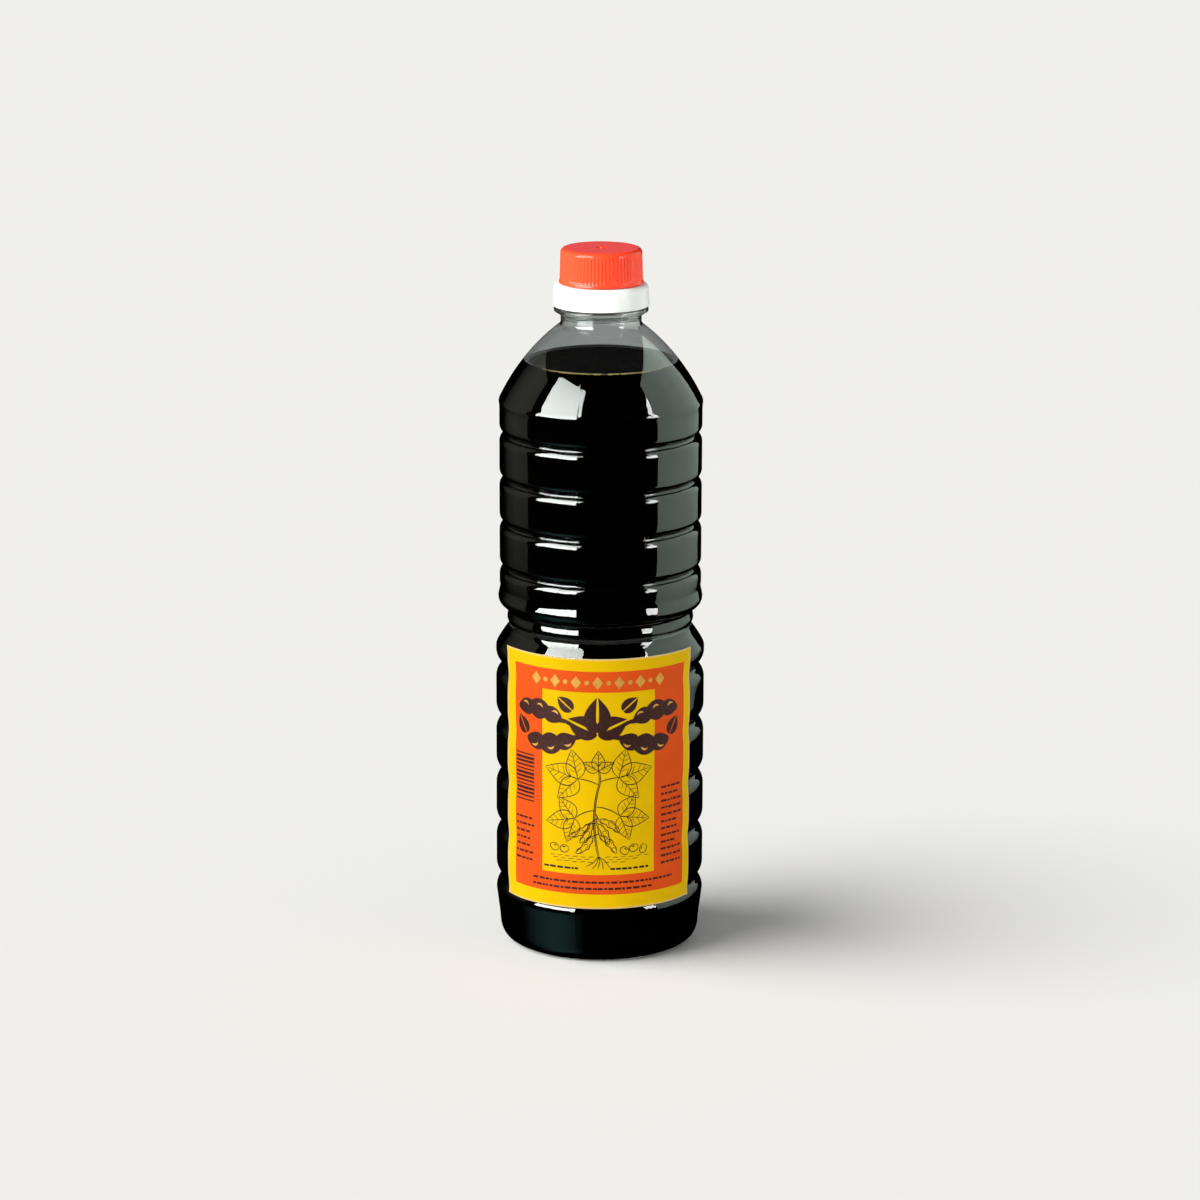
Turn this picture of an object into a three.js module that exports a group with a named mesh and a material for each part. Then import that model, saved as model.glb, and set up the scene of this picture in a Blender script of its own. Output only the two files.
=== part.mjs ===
// Soy sauce bottle: a clear ribbed bottle filled with dark sauce, with a white neck collar, a knurled
// screw cap and a label wrapped round the front. Millimetres, +Z up. The origin is on the floor, on the
// bottle's axis, and the label faces -Y.
import * as THREE from 'three';

// Fineness of the turned pieces
const TURN_STEPS = 32;
const LIP_STEPS = 2;
const ROOT_STEPS = 1;
const EDGE_STEPS = 2;
const CURVE_STEPS = 4;
const SHOULDER_STEPS = 6;

// Clearance that keeps touching pieces apart
const GAP = 0.3;

// Foot and base band
const PUSH_UP_HEIGHT = 7;
const FOOT_INNER_RADIUS = 29.5;
const FOOT_RADIUS = 32.6;
const HEEL_HEIGHT = 8;
const BASE_RADIUS = 38.2;

// Lower ribbed panel, which carries the label
const LOWER = { radius: 39.6, depth: 2.45, lip: 5.45, root: 1.87, first: 24.5, pitch: 21, count: 5 };
const LOWER_CREST_END = 115.4;
const LOWER_FLARE_CONTROL = 116.7;

// Waist between the two ribbed panels
const WAIST_RADIUS = 34.9;
const WAIST_BOTTOM = 123.2;
const WAIST_TOP = 130.5;
const WAIST_RISE_CONTROL = 131.8;

// Upper ribbed panel, with a soft bead at each end
const UPPER = { radius: 38.2, depth: 1.9, lip: 3.93, root: 1.35, first: 147.2, pitch: 17.1, count: 4 };
const LOWER_BEAD = { radius: 38.75, height: 135 };
const UPPER_BEAD = { radius: 38.45, height: 209.9 };
const BEAD_REACH = 3;

// Shoulder, neck and the support flange under the collar
const SHOULDER_RADIUS = 37.8;
const SHOULDER_BOTTOM = 211.9;
const SHOULDER_TOP = 239.9;
const SHOULDER_BULGE = 2;
const NECK_RADIUS = 15.15;
const NECK_BORE_RADIUS = 12.9;
const FLANGE_RADIUS = 17.7;
const FLANGE_BOTTOM = 244.2;
const FLANGE_BEVEL = 1.4;
const MOUTH_HEIGHT = 254.3;

// Wall and contents
const WALL = 0.7;
const FILL_HEIGHT = 225;

// Collar
const COLLAR_BOTTOM = 246;
const COLLAR_TOP = 254.7;
const COLLAR_FOOT_RADIUS = 18;
const COLLAR_RADIUS = 17.65;
const COLLAR_EDGE = 1.5;
const COLLAR_BORE_RADIUS = NECK_RADIUS + GAP;

// Screw cap
const CAP_BOTTOM = 255;
const CAP_TOP = 268;
const CAP_RIM_RADIUS = 15.8;
const CAP_RIM_HEIGHT = 1.1;
const CAP_FOOT_RADIUS = 15.55;
const CAP_RADIUS = 15.25;
const CAP_EDGE = 1.6;
const KNURL_COUNT = 70;
const KNURL_DEPTH = 0.3;

// Label, with its ends measured round the bottle from the front
const LABEL_BOTTOM = 22.2;
const LABEL_TOP = 119.9;
const LABEL_LEFT_END = THREE.MathUtils.degToRad(-61);
const LABEL_RIGHT_END = THREE.MathUtils.degToRad(58.5);
const LABEL_THICKNESS = 0.3;
const LABEL_STEPS = 24;

// Colours
const COLOURS = { clear: 0xe4ebe8, sauce: 0x140906, collar: 0xf7f8f5, cap: 0xf4502a, label: 0xffd400 };

const QUARTER_TURN = Math.PI / 2;

// A profile point: distance from the axis, and height.
function at(radius, height) {
  return new THREE.Vector2(radius, height);
}

// Points of an arc, from just after its start to its end. Angles are measured from the outward direction.
function arc(centre, radius, start, end, steps) {
  const points = [];
  for (let step = 1; step <= steps; step += 1) {
    const angle = start + ((end - start) * step) / steps;
    points.push(at(centre.x + radius * Math.cos(angle), centre.y + radius * Math.sin(angle)));
  }
  return points;
}

// Points of a quadratic curve, from just after its start to its end.
function curve(start, control, end, steps) {
  return new THREE.QuadraticBezierCurve(start, control, end).getPoints(steps).slice(1);
}

// Half the width of a groove whose rounded lips run into its rounded root, and the angle they turn through.
function grooveReach(panel) {
  const turn = Math.acos(1 - panel.depth / (panel.lip + panel.root));
  return { turn, half: (panel.lip + panel.root) * Math.sin(turn) };
}

// The outside of one ribbed panel, from below its first groove to above its last.
function ribs(panel) {
  const { turn, half } = grooveReach(panel);
  const points = [];
  for (let rib = 0; rib < panel.count; rib += 1) {
    const middle = panel.first + rib * panel.pitch;
    const lowerLip = at(panel.radius - panel.lip, middle - half);
    const root = at(panel.radius - panel.depth + panel.root, middle);
    const upperLip = at(panel.radius - panel.lip, middle + half);
    points.push(at(panel.radius, middle - half));
    points.push(...arc(lowerLip, panel.lip, 0, turn, LIP_STEPS));
    points.push(...arc(root, panel.root, Math.PI + turn, Math.PI, ROOT_STEPS));
    points.push(...arc(root, panel.root, Math.PI, Math.PI - turn, ROOT_STEPS));
    points.push(...arc(upperLip, panel.lip, -turn, 0, LIP_STEPS));
  }
  return points;
}

// The same panel from the inside, set in by an inset, with each groove as a plain V.
function plainRibs(panel, inset) {
  const { half } = grooveReach(panel);
  const points = [];
  for (let rib = 0; rib < panel.count; rib += 1) {
    const middle = panel.first + rib * panel.pitch;
    points.push(at(panel.radius - inset, middle - half));
    points.push(at(panel.radius - panel.depth - inset, middle));
    points.push(at(panel.radius - inset, middle + half));
  }
  return points;
}

// The shoulder's curve, set in by an inset, from just above the upper panel to the neck.
function shoulder(inset, topRadius) {
  const start = at(SHOULDER_RADIUS - inset, SHOULDER_BOTTOM);
  const end = at(topRadius, SHOULDER_TOP);
  const along = end.clone().sub(start).normalize();
  const outward = at(along.y, -along.x).multiplyScalar(2 * SHOULDER_BULGE);
  const control = start.clone().add(end).multiplyScalar(0.5).add(outward);
  return [start, ...curve(start, control, end, SHOULDER_STEPS)];
}

// Outside of the bottle, from the middle of its base to the rim of its mouth.
function bottleOutside() {
  const middle = at(0, PUSH_UP_HEIGHT);
  const footInside = at(FOOT_INNER_RADIUS, 0);
  const foot = at(FOOT_RADIUS, 0);
  const heelTop = at(BASE_RADIUS, HEEL_HEIGHT);
  const crest = at(LOWER.radius, LOWER_CREST_END);
  const waistBottom = at(WAIST_RADIUS, WAIST_BOTTOM);
  const waistTop = at(WAIST_RADIUS, WAIST_TOP);
  const bead = at(LOWER_BEAD.radius, LOWER_BEAD.height);
  return [
    middle, ...curve(middle, at(FOOT_INNER_RADIUS / 2, PUSH_UP_HEIGHT), footInside, CURVE_STEPS),
    foot, ...curve(foot, at(BASE_RADIUS, 0), heelTop, CURVE_STEPS), ...ribs(LOWER),
    crest, ...curve(crest, at(LOWER.radius, LOWER_FLARE_CONTROL), waistBottom, CURVE_STEPS),
    waistTop, ...curve(waistTop, at(LOWER_BEAD.radius, WAIST_RISE_CONTROL), bead, CURVE_STEPS),
    at(UPPER.radius, LOWER_BEAD.height + BEAD_REACH), ...ribs(UPPER),
    at(UPPER.radius, UPPER_BEAD.height - BEAD_REACH), at(UPPER_BEAD.radius, UPPER_BEAD.height),
    ...shoulder(0, NECK_RADIUS), at(NECK_RADIUS, FLANGE_BOTTOM - FLANGE_BEVEL),
    at(FLANGE_RADIUS, FLANGE_BOTTOM), at(FLANGE_RADIUS, COLLAR_BOTTOM - GAP),
    at(NECK_RADIUS, COLLAR_BOTTOM - GAP), at(NECK_RADIUS, MOUTH_HEIGHT),
  ];
}

// Inside of the bottle below its shoulder, set in by an inset, from the middle of its base upwards.
// The wall is thicker at the foot and in the bends round the waist.
function insideBody(inset) {
  const thick = 2 * inset;
  const foot = at(FOOT_RADIUS - inset, thick);
  const heelTop = at(BASE_RADIUS - inset, HEEL_HEIGHT);
  return [
    at(0, PUSH_UP_HEIGHT + inset), at(FOOT_INNER_RADIUS / 2, 0.75 * PUSH_UP_HEIGHT + inset),
    at(FOOT_INNER_RADIUS, thick), foot, ...curve(foot, at(BASE_RADIUS - inset, thick), heelTop, EDGE_STEPS),
    ...plainRibs(LOWER, inset), at(LOWER.radius - inset, LOWER_CREST_END - inset),
    at(WAIST_RADIUS - inset, WAIST_BOTTOM - thick), at(WAIST_RADIUS - inset, WAIST_TOP + inset),
    at(UPPER.radius - inset, LOWER_BEAD.height), ...plainRibs(UPPER, inset),
  ];
}

// A turned piece with the given profile.
function turned(name, profile, material, steps = TURN_STEPS) {
  const geometry = new THREE.LatheGeometry(profile, steps);
  geometry.rotateX(QUARTER_TURN);
  const mesh = new THREE.Mesh(geometry, material);
  mesh.name = name;
  return mesh;
}

// The clear bottle: a thin wall with an open mouth.
function makeBottle() {
  const inside = [
    ...insideBody(WALL), ...shoulder(WALL, NECK_BORE_RADIUS), at(NECK_BORE_RADIUS, MOUTH_HEIGHT),
  ];
  const material = new THREE.MeshStandardMaterial({
    color: COLOURS.clear, roughness: 0.06, metalness: 0, transparent: true, opacity: 0.35,
  });
  return turned('bottle', [...bottleOutside(), ...inside.reverse()], material);
}

// The sauce, up to its level in the shoulder.
function makeSauce() {
  const inset = WALL + GAP;
  const points = [...insideBody(inset), ...shoulder(inset, NECK_BORE_RADIUS - GAP)];
  const below = points.filter((point) => point.y < FILL_HEIGHT);
  const last = below[below.length - 1];
  const next = points[below.length];
  const share = (FILL_HEIGHT - last.y) / (next.y - last.y);
  const rim = last.clone().lerp(next, share);
  const material = new THREE.MeshStandardMaterial({ color: COLOURS.sauce, roughness: 0.05, metalness: 0 });
  return turned('soy_sauce', [...below, rim, at(0, FILL_HEIGHT)], material);
}

// The white collar round the neck, with a rounded upper edge.
function makeCollar() {
  const edge = at(COLLAR_RADIUS - COLLAR_EDGE, COLLAR_TOP - COLLAR_EDGE);
  const foot = at(COLLAR_BORE_RADIUS, COLLAR_BOTTOM);
  const profile = [
    foot, at(COLLAR_FOOT_RADIUS, COLLAR_BOTTOM), at(COLLAR_RADIUS, COLLAR_TOP - COLLAR_EDGE),
    ...arc(edge, COLLAR_EDGE, 0, QUARTER_TURN, EDGE_STEPS), at(COLLAR_BORE_RADIUS, COLLAR_TOP), foot.clone(),
  ];
  const material = new THREE.MeshStandardMaterial({ color: COLOURS.collar, roughness: 0.35, metalness: 0 });
  return turned('collar', profile, material);
}

// The screw cap, with a plain rim below and fine upright knurls round its side.
function makeCap() {
  const sideBottom = CAP_BOTTOM + CAP_RIM_HEIGHT;
  const edge = at(CAP_RADIUS - CAP_EDGE, CAP_TOP - CAP_EDGE);
  const profile = [
    at(0, CAP_BOTTOM), at(CAP_RIM_RADIUS, CAP_BOTTOM), at(CAP_FOOT_RADIUS, sideBottom),
    at(CAP_RADIUS, CAP_TOP - CAP_EDGE), ...arc(edge, CAP_EDGE, 0, QUARTER_TURN, EDGE_STEPS), at(0, CAP_TOP),
  ];
  const material = new THREE.MeshStandardMaterial({ color: COLOURS.cap, roughness: 0.4, metalness: 0 });
  const cap = turned('cap', profile, material, 2 * KNURL_COUNT);
  sinkKnurls(cap.geometry, sideBottom, CAP_TOP - CAP_EDGE);
  return cap;
}

// Sinks every other upright line of a turned side between two heights, so that knurls stand between.
function sinkKnurls(geometry, bottom, top) {
  const position = geometry.attributes.position;
  const halfTurns = KNURL_COUNT / Math.PI;
  const point = new THREE.Vector3();
  for (let index = 0; index < position.count; index += 1) {
    point.fromBufferAttribute(position, index);
    const line = Math.round(Math.atan2(point.y, point.x) * halfTurns);
    const onSide = point.z > bottom - GAP && point.z < top + GAP;
    if (onSide && Math.abs(line % 2) === 1) {
      const radius = Math.hypot(point.x, point.y);
      const scale = (radius - KNURL_DEPTH) / radius;
      position.setXY(index, point.x * scale, point.y * scale);
    }
  }
}

// The label: a thin sheet bent round the front of the lower panel, clear of the ribs that carry it.
function makeLabel() {
  const inner = LOWER.radius + GAP;
  const outer = inner + LABEL_THICKNESS;
  const left = LABEL_LEFT_END - QUARTER_TURN;
  const right = LABEL_RIGHT_END - QUARTER_TURN;
  const outline = new THREE.Shape();
  outline.absarc(0, 0, outer, left, right, false);
  outline.absarc(0, 0, inner, right, left, true);
  outline.closePath();
  const geometry = new THREE.ExtrudeGeometry(outline, {
    depth: LABEL_TOP - LABEL_BOTTOM, bevelEnabled: false, curveSegments: LABEL_STEPS,
  });
  const material = new THREE.MeshStandardMaterial({ color: COLOURS.label, roughness: 0.55, metalness: 0 });
  const label = new THREE.Mesh(geometry, material);
  label.name = 'label';
  label.position.z = LABEL_BOTTOM;
  return label;
}

const soySauceBottle = new THREE.Group();
soySauceBottle.add(makeBottle(), makeSauce(), makeCollar(), makeCap(), makeLabel());

export default soySauceBottle;
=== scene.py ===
"""Looks of the soy sauce bottle: clear ribbed bottle, dark sauce, collar, knurled cap and printed label.

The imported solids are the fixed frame, and each of them is replaced by a finer piece of the same size.
Sizes are in millimetres, with the origin on the floor under the bottle's axis, +Z up and the label
facing -Y. Angles round the bottle are in degrees from the front, positive towards +X.
"""

import logging
import math
from dataclasses import dataclass, field
from enum import Enum
from typing import Callable, Iterable, Sequence

import bpy
import numpy as np
from mathutils import Matrix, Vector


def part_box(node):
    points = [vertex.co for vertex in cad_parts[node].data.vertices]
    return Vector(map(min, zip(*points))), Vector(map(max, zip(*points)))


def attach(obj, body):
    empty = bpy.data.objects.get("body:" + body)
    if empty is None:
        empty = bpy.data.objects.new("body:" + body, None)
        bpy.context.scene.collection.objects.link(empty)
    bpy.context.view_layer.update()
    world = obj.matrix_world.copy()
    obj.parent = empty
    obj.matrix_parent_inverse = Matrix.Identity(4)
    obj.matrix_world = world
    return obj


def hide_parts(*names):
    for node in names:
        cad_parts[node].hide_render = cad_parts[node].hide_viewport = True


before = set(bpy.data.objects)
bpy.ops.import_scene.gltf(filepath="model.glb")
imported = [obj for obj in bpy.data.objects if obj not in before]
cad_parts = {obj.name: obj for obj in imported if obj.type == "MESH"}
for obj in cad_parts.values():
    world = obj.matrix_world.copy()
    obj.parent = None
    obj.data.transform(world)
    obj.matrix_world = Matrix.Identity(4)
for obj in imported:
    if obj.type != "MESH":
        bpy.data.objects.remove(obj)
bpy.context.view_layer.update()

LOG = logging.getLogger("soy_sauce_bottle")
MM = 0.001
BODY = "root"
TINY = 1e-6

# Points on a small rounded edge
EDGE_STEPS = 4

# Sockets of a mix node that mixes colours
MIX_FIRST, MIX_SECOND, MIX_RESULT = 6, 7, 2

Colour = tuple[float, float, float]
Point = tuple[float, float]
Spread = float | tuple[float, ...]
Relief = Callable[[np.ndarray, np.ndarray, np.ndarray], np.ndarray]
Taper = Callable[[np.ndarray], np.ndarray]

WHITE: Colour = (1.0, 1.0, 1.0)


class Slot(Enum):
    """The record's material slots, one for each kind of piece."""

    BOTTLE = "clear_bottle"
    SAUCE = "soy_sauce"
    COLLAR = "white_collar"
    CAP = "red_cap"
    LABEL = "label_paper"


class Zone(Enum):
    """Zones of the sauce: against the wall, where it climbs the wall, and its still surface."""

    WALL = 0
    CLIMB = 1
    STILL = 2


class Field(Enum):
    """Fields of flat colour on the label, in the order of its material slots."""

    BORDER = 0
    GROUND = 1
    PANEL = 2
    CORE = 3


def paint(red: int, green: int, blue: int) -> Colour:
    """Turns a display colour of 0 to 255 into linear light.

    Args:
        red: Red as displayed.
        green: Green as displayed.
        blue: Blue as displayed.

    Returns:
        The colour as a shader takes it.
    """
    shares = [value / 255 for value in (red, green, blue)]
    linear = [s / 12.92 if s <= 0.04045 else ((s + 0.055) / 1.055) ** 2.4 for s in shares]
    return linear[0], linear[1], linear[2]


def arc(centre: Point, radius: float, start: float, end: float, steps: int) -> list[Point]:
    """Points of an arc in the profile plane, from just after its start to its end.

    Args:
        centre: Centre, as distance from the axis and height.
        radius: Radius of the arc.
        start: First angle, in radians from the outward direction.
        end: Last angle.
        steps: Number of points.

    Returns:
        The points, as distance from the axis and height.
    """
    angles = np.linspace(start, end, steps + 1)[1:]
    return [(centre[0] + radius * math.cos(a), centre[1] + radius * math.sin(a)) for a in angles]


def bend(start: Point, control: Point, end: Point, steps: int) -> list[Point]:
    """Points of a quadratic curve, from just after its start to its end.

    Args:
        start: First point.
        control: Point that the curve leans towards.
        end: Last point.
        steps: Number of points.

    Returns:
        The points of the curve.
    """
    shares = np.linspace(0, 1, steps + 1)[1:, None]
    a, b, c = np.array(start), np.array(control), np.array(end)
    curve = (1 - shares) ** 2 * a + 2 * shares * (1 - shares) * b + shares**2 * c
    return [(float(x), float(y)) for x, y in curve]


def ease(values: np.ndarray, low: float, high: float) -> np.ndarray:
    """Goes smoothly from 0 at low to 1 at high, and low may be the larger.

    Args:
        values: Where to evaluate it.
        low: Value at which it is 0.
        high: Value at which it is 1.

    Returns:
        The eased share for each value.
    """
    share = np.clip((np.asarray(values, float) - low) / (high - low), 0, 1)
    return share * share * (3 - 2 * share)


def hump(values: np.ndarray, centre: float, width: float) -> np.ndarray:
    """A smooth hump of height 1 round a centre, of about the given half width."""
    return np.exp(-(((np.asarray(values, float) - centre) / width) ** 2))


def densify(points: Sequence[Point], longest: float) -> np.ndarray:
    """Splits the long steps of a profile, so that relief along it has points to act on.

    Args:
        points: Profile points.
        longest: Longest step to leave.

    Returns:
        The profile as an array with a row for each point.
    """
    made: list[np.ndarray] = []
    for start, end in zip(points[:-1], points[1:]):
        a, b = np.array(start, float), np.array(end, float)
        parts = max(1, math.ceil(float(np.linalg.norm(b - a)) / longest))
        made.extend(a + (b - a) * part / parts for part in range(parts))
    made.append(np.array(points[-1], float))
    kept = [made[0]]
    kept.extend(b for a, b in zip(made[:-1], made[1:]) if float(np.linalg.norm(b - a)) > TINY)
    return np.array(kept)


def inwards(profile: np.ndarray, inset: np.ndarray) -> np.ndarray:
    """Moves a profile that runs upwards along the outside of a piece towards its inside.

    Args:
        profile: Profile with a row for each point.
        inset: Distance for each point, measured square to the profile.

    Returns:
        The moved profile.
    """
    along = np.gradient(profile, axis=0)
    along /= np.linalg.norm(along, axis=1, keepdims=True)
    square = np.stack([-along[:, 1], along[:, 0]], axis=1)
    moved = profile + square * inset[:, None]
    moved[:, 0] = np.where(profile[:, 0] < TINY, 0.0, np.maximum(moved[:, 0], 0.0))
    return moved


class MeshSketch:
    """Vertices and faces of one piece, in millimetres, with a material number for each face."""

    def __init__(self) -> None:
        """Starts with no vertices."""
        self.points: list[np.ndarray] = []
        self.faces: list[list[int]] = []
        self.numbers: list[int] = []
        self.count = 0

    def add_points(self, points: np.ndarray) -> np.ndarray:
        """Adds points.

        Args:
            points: Points in an array of any shape that ends in 3.

        Returns:
            The indices of the points, in that shape.
        """
        flat = points.reshape(-1, 3)
        index = self.count + np.arange(len(flat)).reshape(points.shape[:-1])
        self.points.append(flat)
        self.count += len(flat)
        return index

    def add_faces(self, faces: np.ndarray, numbers: np.ndarray | int = 0) -> None:
        """Adds faces as rows of indices, with one material number or one for each face."""
        self.faces.extend(faces.tolist())
        self.numbers.extend(np.broadcast_to(numbers, len(faces)).tolist())

    def grid(self, points: np.ndarray, numbers: np.ndarray | int = 0, wrap: bool = False) -> np.ndarray:
        """Adds a sheet of quads.

        Args:
            points: Points in rows and columns.
            numbers: Material number of the sheet, or of each quad, row by row.
            wrap: Whether the last column joins the first.

        Returns:
            The indices of the points, in rows and columns.
        """
        index = self.add_points(points)
        right = np.roll(index, -1, axis=1) if wrap else index[:, 1:]
        left = index if wrap else index[:, :-1]
        quads = np.stack([left[:-1], right[:-1], right[1:], left[1:]], axis=-1).reshape(-1, 4)
        self.add_faces(quads, numbers)
        return index

    def turn(
        self,
        profile: np.ndarray,
        angles: np.ndarray,
        relief: Relief | None = None,
        row_numbers: np.ndarray | None = None,
    ) -> None:
        """Turns a profile that starts and ends on the axis about it.

        Args:
            profile: Distance from the axis and height of each point.
            angles: Angles of the columns, in radians from the front.
            relief: Gives the distance from the axis for arrays of angle, distance and height.
            row_numbers: Material number for each step of the profile, or all 0.
        """
        rows = profile[1:-1]
        numbers = np.zeros(len(profile) - 1, int) if row_numbers is None else row_numbers
        turned_angle, radius = np.meshgrid(angles, rows[:, 0])
        height = np.repeat(rows[:, 1:], len(angles), axis=1)
        if relief is not None:
            radius = relief(turned_angle, radius, height)
        points = np.stack([radius * np.sin(turned_angle), -radius * np.cos(turned_angle), height], axis=-1)
        index = self.grid(points, np.repeat(numbers[1:-1], len(angles)), wrap=True)
        for end, row in ((0, index[0]), (-1, index[-1])):
            pole = int(self.add_points(np.array([[0.0, 0.0, profile[end, 1]]]))[0])
            following = np.roll(row, -1)
            pair = (following, row) if end == 0 else (row, following)
            self.add_faces(np.stack([*pair, np.full(len(row), pole)], axis=1), int(numbers[end]))

    def build(self, name: str, materials: Iterable[bpy.types.Material]) -> bpy.types.Object:
        """Makes the mesh object, smooth shaded, in metres.

        Args:
            name: Name of the piece.
            materials: Materials in the order of the faces' numbers.

        Returns:
            The new object, in the scene.
        """
        mesh = bpy.data.meshes.new(name)
        mesh.from_pydata((np.concatenate(self.points) * MM).tolist(), [], self.faces)
        for material in materials:
            mesh.materials.append(material)
        mesh.polygons.foreach_set("material_index", self.numbers)
        mesh.polygons.foreach_set("use_smooth", [True] * len(self.faces))
        mesh.validate()
        mesh.update()
        piece = bpy.data.objects.new(name, mesh)
        bpy.context.scene.collection.objects.link(piece)
        return piece


def put_on_body(piece: bpy.types.Object, slot: Slot, *nodes: str) -> bpy.types.Object:
    """Puts a finished piece on the body and hides the solids that it stands for.

    Args:
        piece: The piece.
        slot: The record's slot for the piece; not used.
        nodes: Names of the solids that it replaces.

    Returns:
        The same piece.
    """
    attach(piece, BODY)
    if nodes:
        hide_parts(*nodes)
    LOG.info("%s: %d faces", piece.name, len(piece.data.polygons))
    return piece


class Shader:
    """A material with a Principled shader, and short ways to add textures to it."""

    def __init__(self, name: str, **values: float | tuple[float, ...]) -> None:
        """Makes the material and sets constants on the shader's own sockets.

        Args:
            name: Name of the material.
            values: Socket values, with the socket's words joined by underscores.
        """
        self.material = bpy.data.materials.new(name)
        self.material.use_nodes = True
        self.tree = self.material.node_tree
        self.principled = self.tree.nodes["Principled BSDF"]
        for words, value in values.items():
            self.socket(words).default_value = value
        self.coordinates = self.node("ShaderNodeTexCoord").outputs["Object"]

    def socket(self, words: str) -> bpy.types.NodeSocket:
        """Finds a socket of the shader by its words, joined by underscores, in any case."""
        wanted = words.replace("_", " ").lower()
        return next(s for s in self.principled.inputs if s.name.lower() == wanted)

    def node(self, kind: str, **settings: object) -> bpy.types.Node:
        """Adds a node and sets its properties.

        Args:
            kind: Blender's name of the node type.
            settings: Properties of the node and their values.

        Returns:
            The node.
        """
        node = self.tree.nodes.new(kind)
        for name, value in settings.items():
            setattr(node, name, value)
        return node

    def link(self, source: bpy.types.NodeSocket, target: bpy.types.NodeSocket) -> None:
        """Joins two sockets."""
        self.tree.links.new(source, target)

    def noise(self, size: float, detail: float) -> bpy.types.NodeSocket:
        """Adds noise in the piece's own coordinates.

        Args:
            size: Size of a feature, in millimetres.
            detail: Octaves of finer noise.

        Returns:
            The noise's value.
        """
        node = self.node("ShaderNodeTexNoise")
        node.inputs["Scale"].default_value = 1 / (size * MM)
        node.inputs["Detail"].default_value = detail
        self.link(self.coordinates, node.inputs["Vector"])
        return node.outputs["Fac"]

    def ramp(self, source: bpy.types.NodeSocket, *stops: tuple[float, Colour]) -> bpy.types.NodeSocket:
        """Adds a colour ramp.

        Args:
            source: The value that it reads.
            stops: Places and colours, in order.

        Returns:
            The ramp's colour.
        """
        node = self.node("ShaderNodeValToRGB")
        elements = node.color_ramp.elements
        while len(elements) < len(stops):
            elements.new(1.0)
        for element, (position, colour) in zip(elements, stops):
            element.position = position
            element.color = (*colour, 1.0)
        self.link(source, node.inputs["Fac"])
        return node.outputs["Color"]

    def range(self, source: bpy.types.NodeSocket, low: float, high: float) -> bpy.types.NodeSocket:
        """Spreads a value of 0 to 1 between two others.

        Args:
            source: The value.
            low: What 0 becomes.
            high: What 1 becomes.

        Returns:
            The spread value.
        """
        node = self.node("ShaderNodeMapRange")
        node.inputs["To Min"].default_value = low
        node.inputs["To Max"].default_value = high
        self.link(source, node.inputs["Value"])
        return node.outputs["Result"]

    def bump(self, height: bpy.types.NodeSocket, depth: float, strength: float) -> None:
        """Roughens the surface by a height.

        Args:
            height: The height's value.
            depth: Depth of the relief, in millimetres.
            strength: Share of it that shows.
        """
        node = self.node("ShaderNodeBump")
        node.inputs["Distance"].default_value = depth * MM
        node.inputs["Strength"].default_value = strength
        self.link(height, node.inputs["Height"])
        self.link(node.outputs["Normal"], self.socket("Normal"))


@dataclass(frozen=True)
class ClearPlastic:
    """Blown clear plastic: glossy, almost colourless, with a faint unevenness."""

    colour: Colour = (0.90, 0.93, 0.915)
    roughness: float = 0.015
    refraction: float = 1.53
    ripple_size: float = 14.0
    ripple_depth: float = 0.05
    ripple_strength: float = 0.25

    def material(self, name: str) -> bpy.types.Material:
        """Makes the material.

        Args:
            name: Name of the material.

        Returns:
            The material.
        """
        shader = Shader(
            name,
            base_color=(*self.colour, 1.0),
            roughness=self.roughness,
            ior=self.refraction,
            transmission_weight=1.0,
        )
        shader.bump(shader.noise(self.ripple_size, detail=1.0), self.ripple_depth, self.ripple_strength)
        return shader.material


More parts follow.
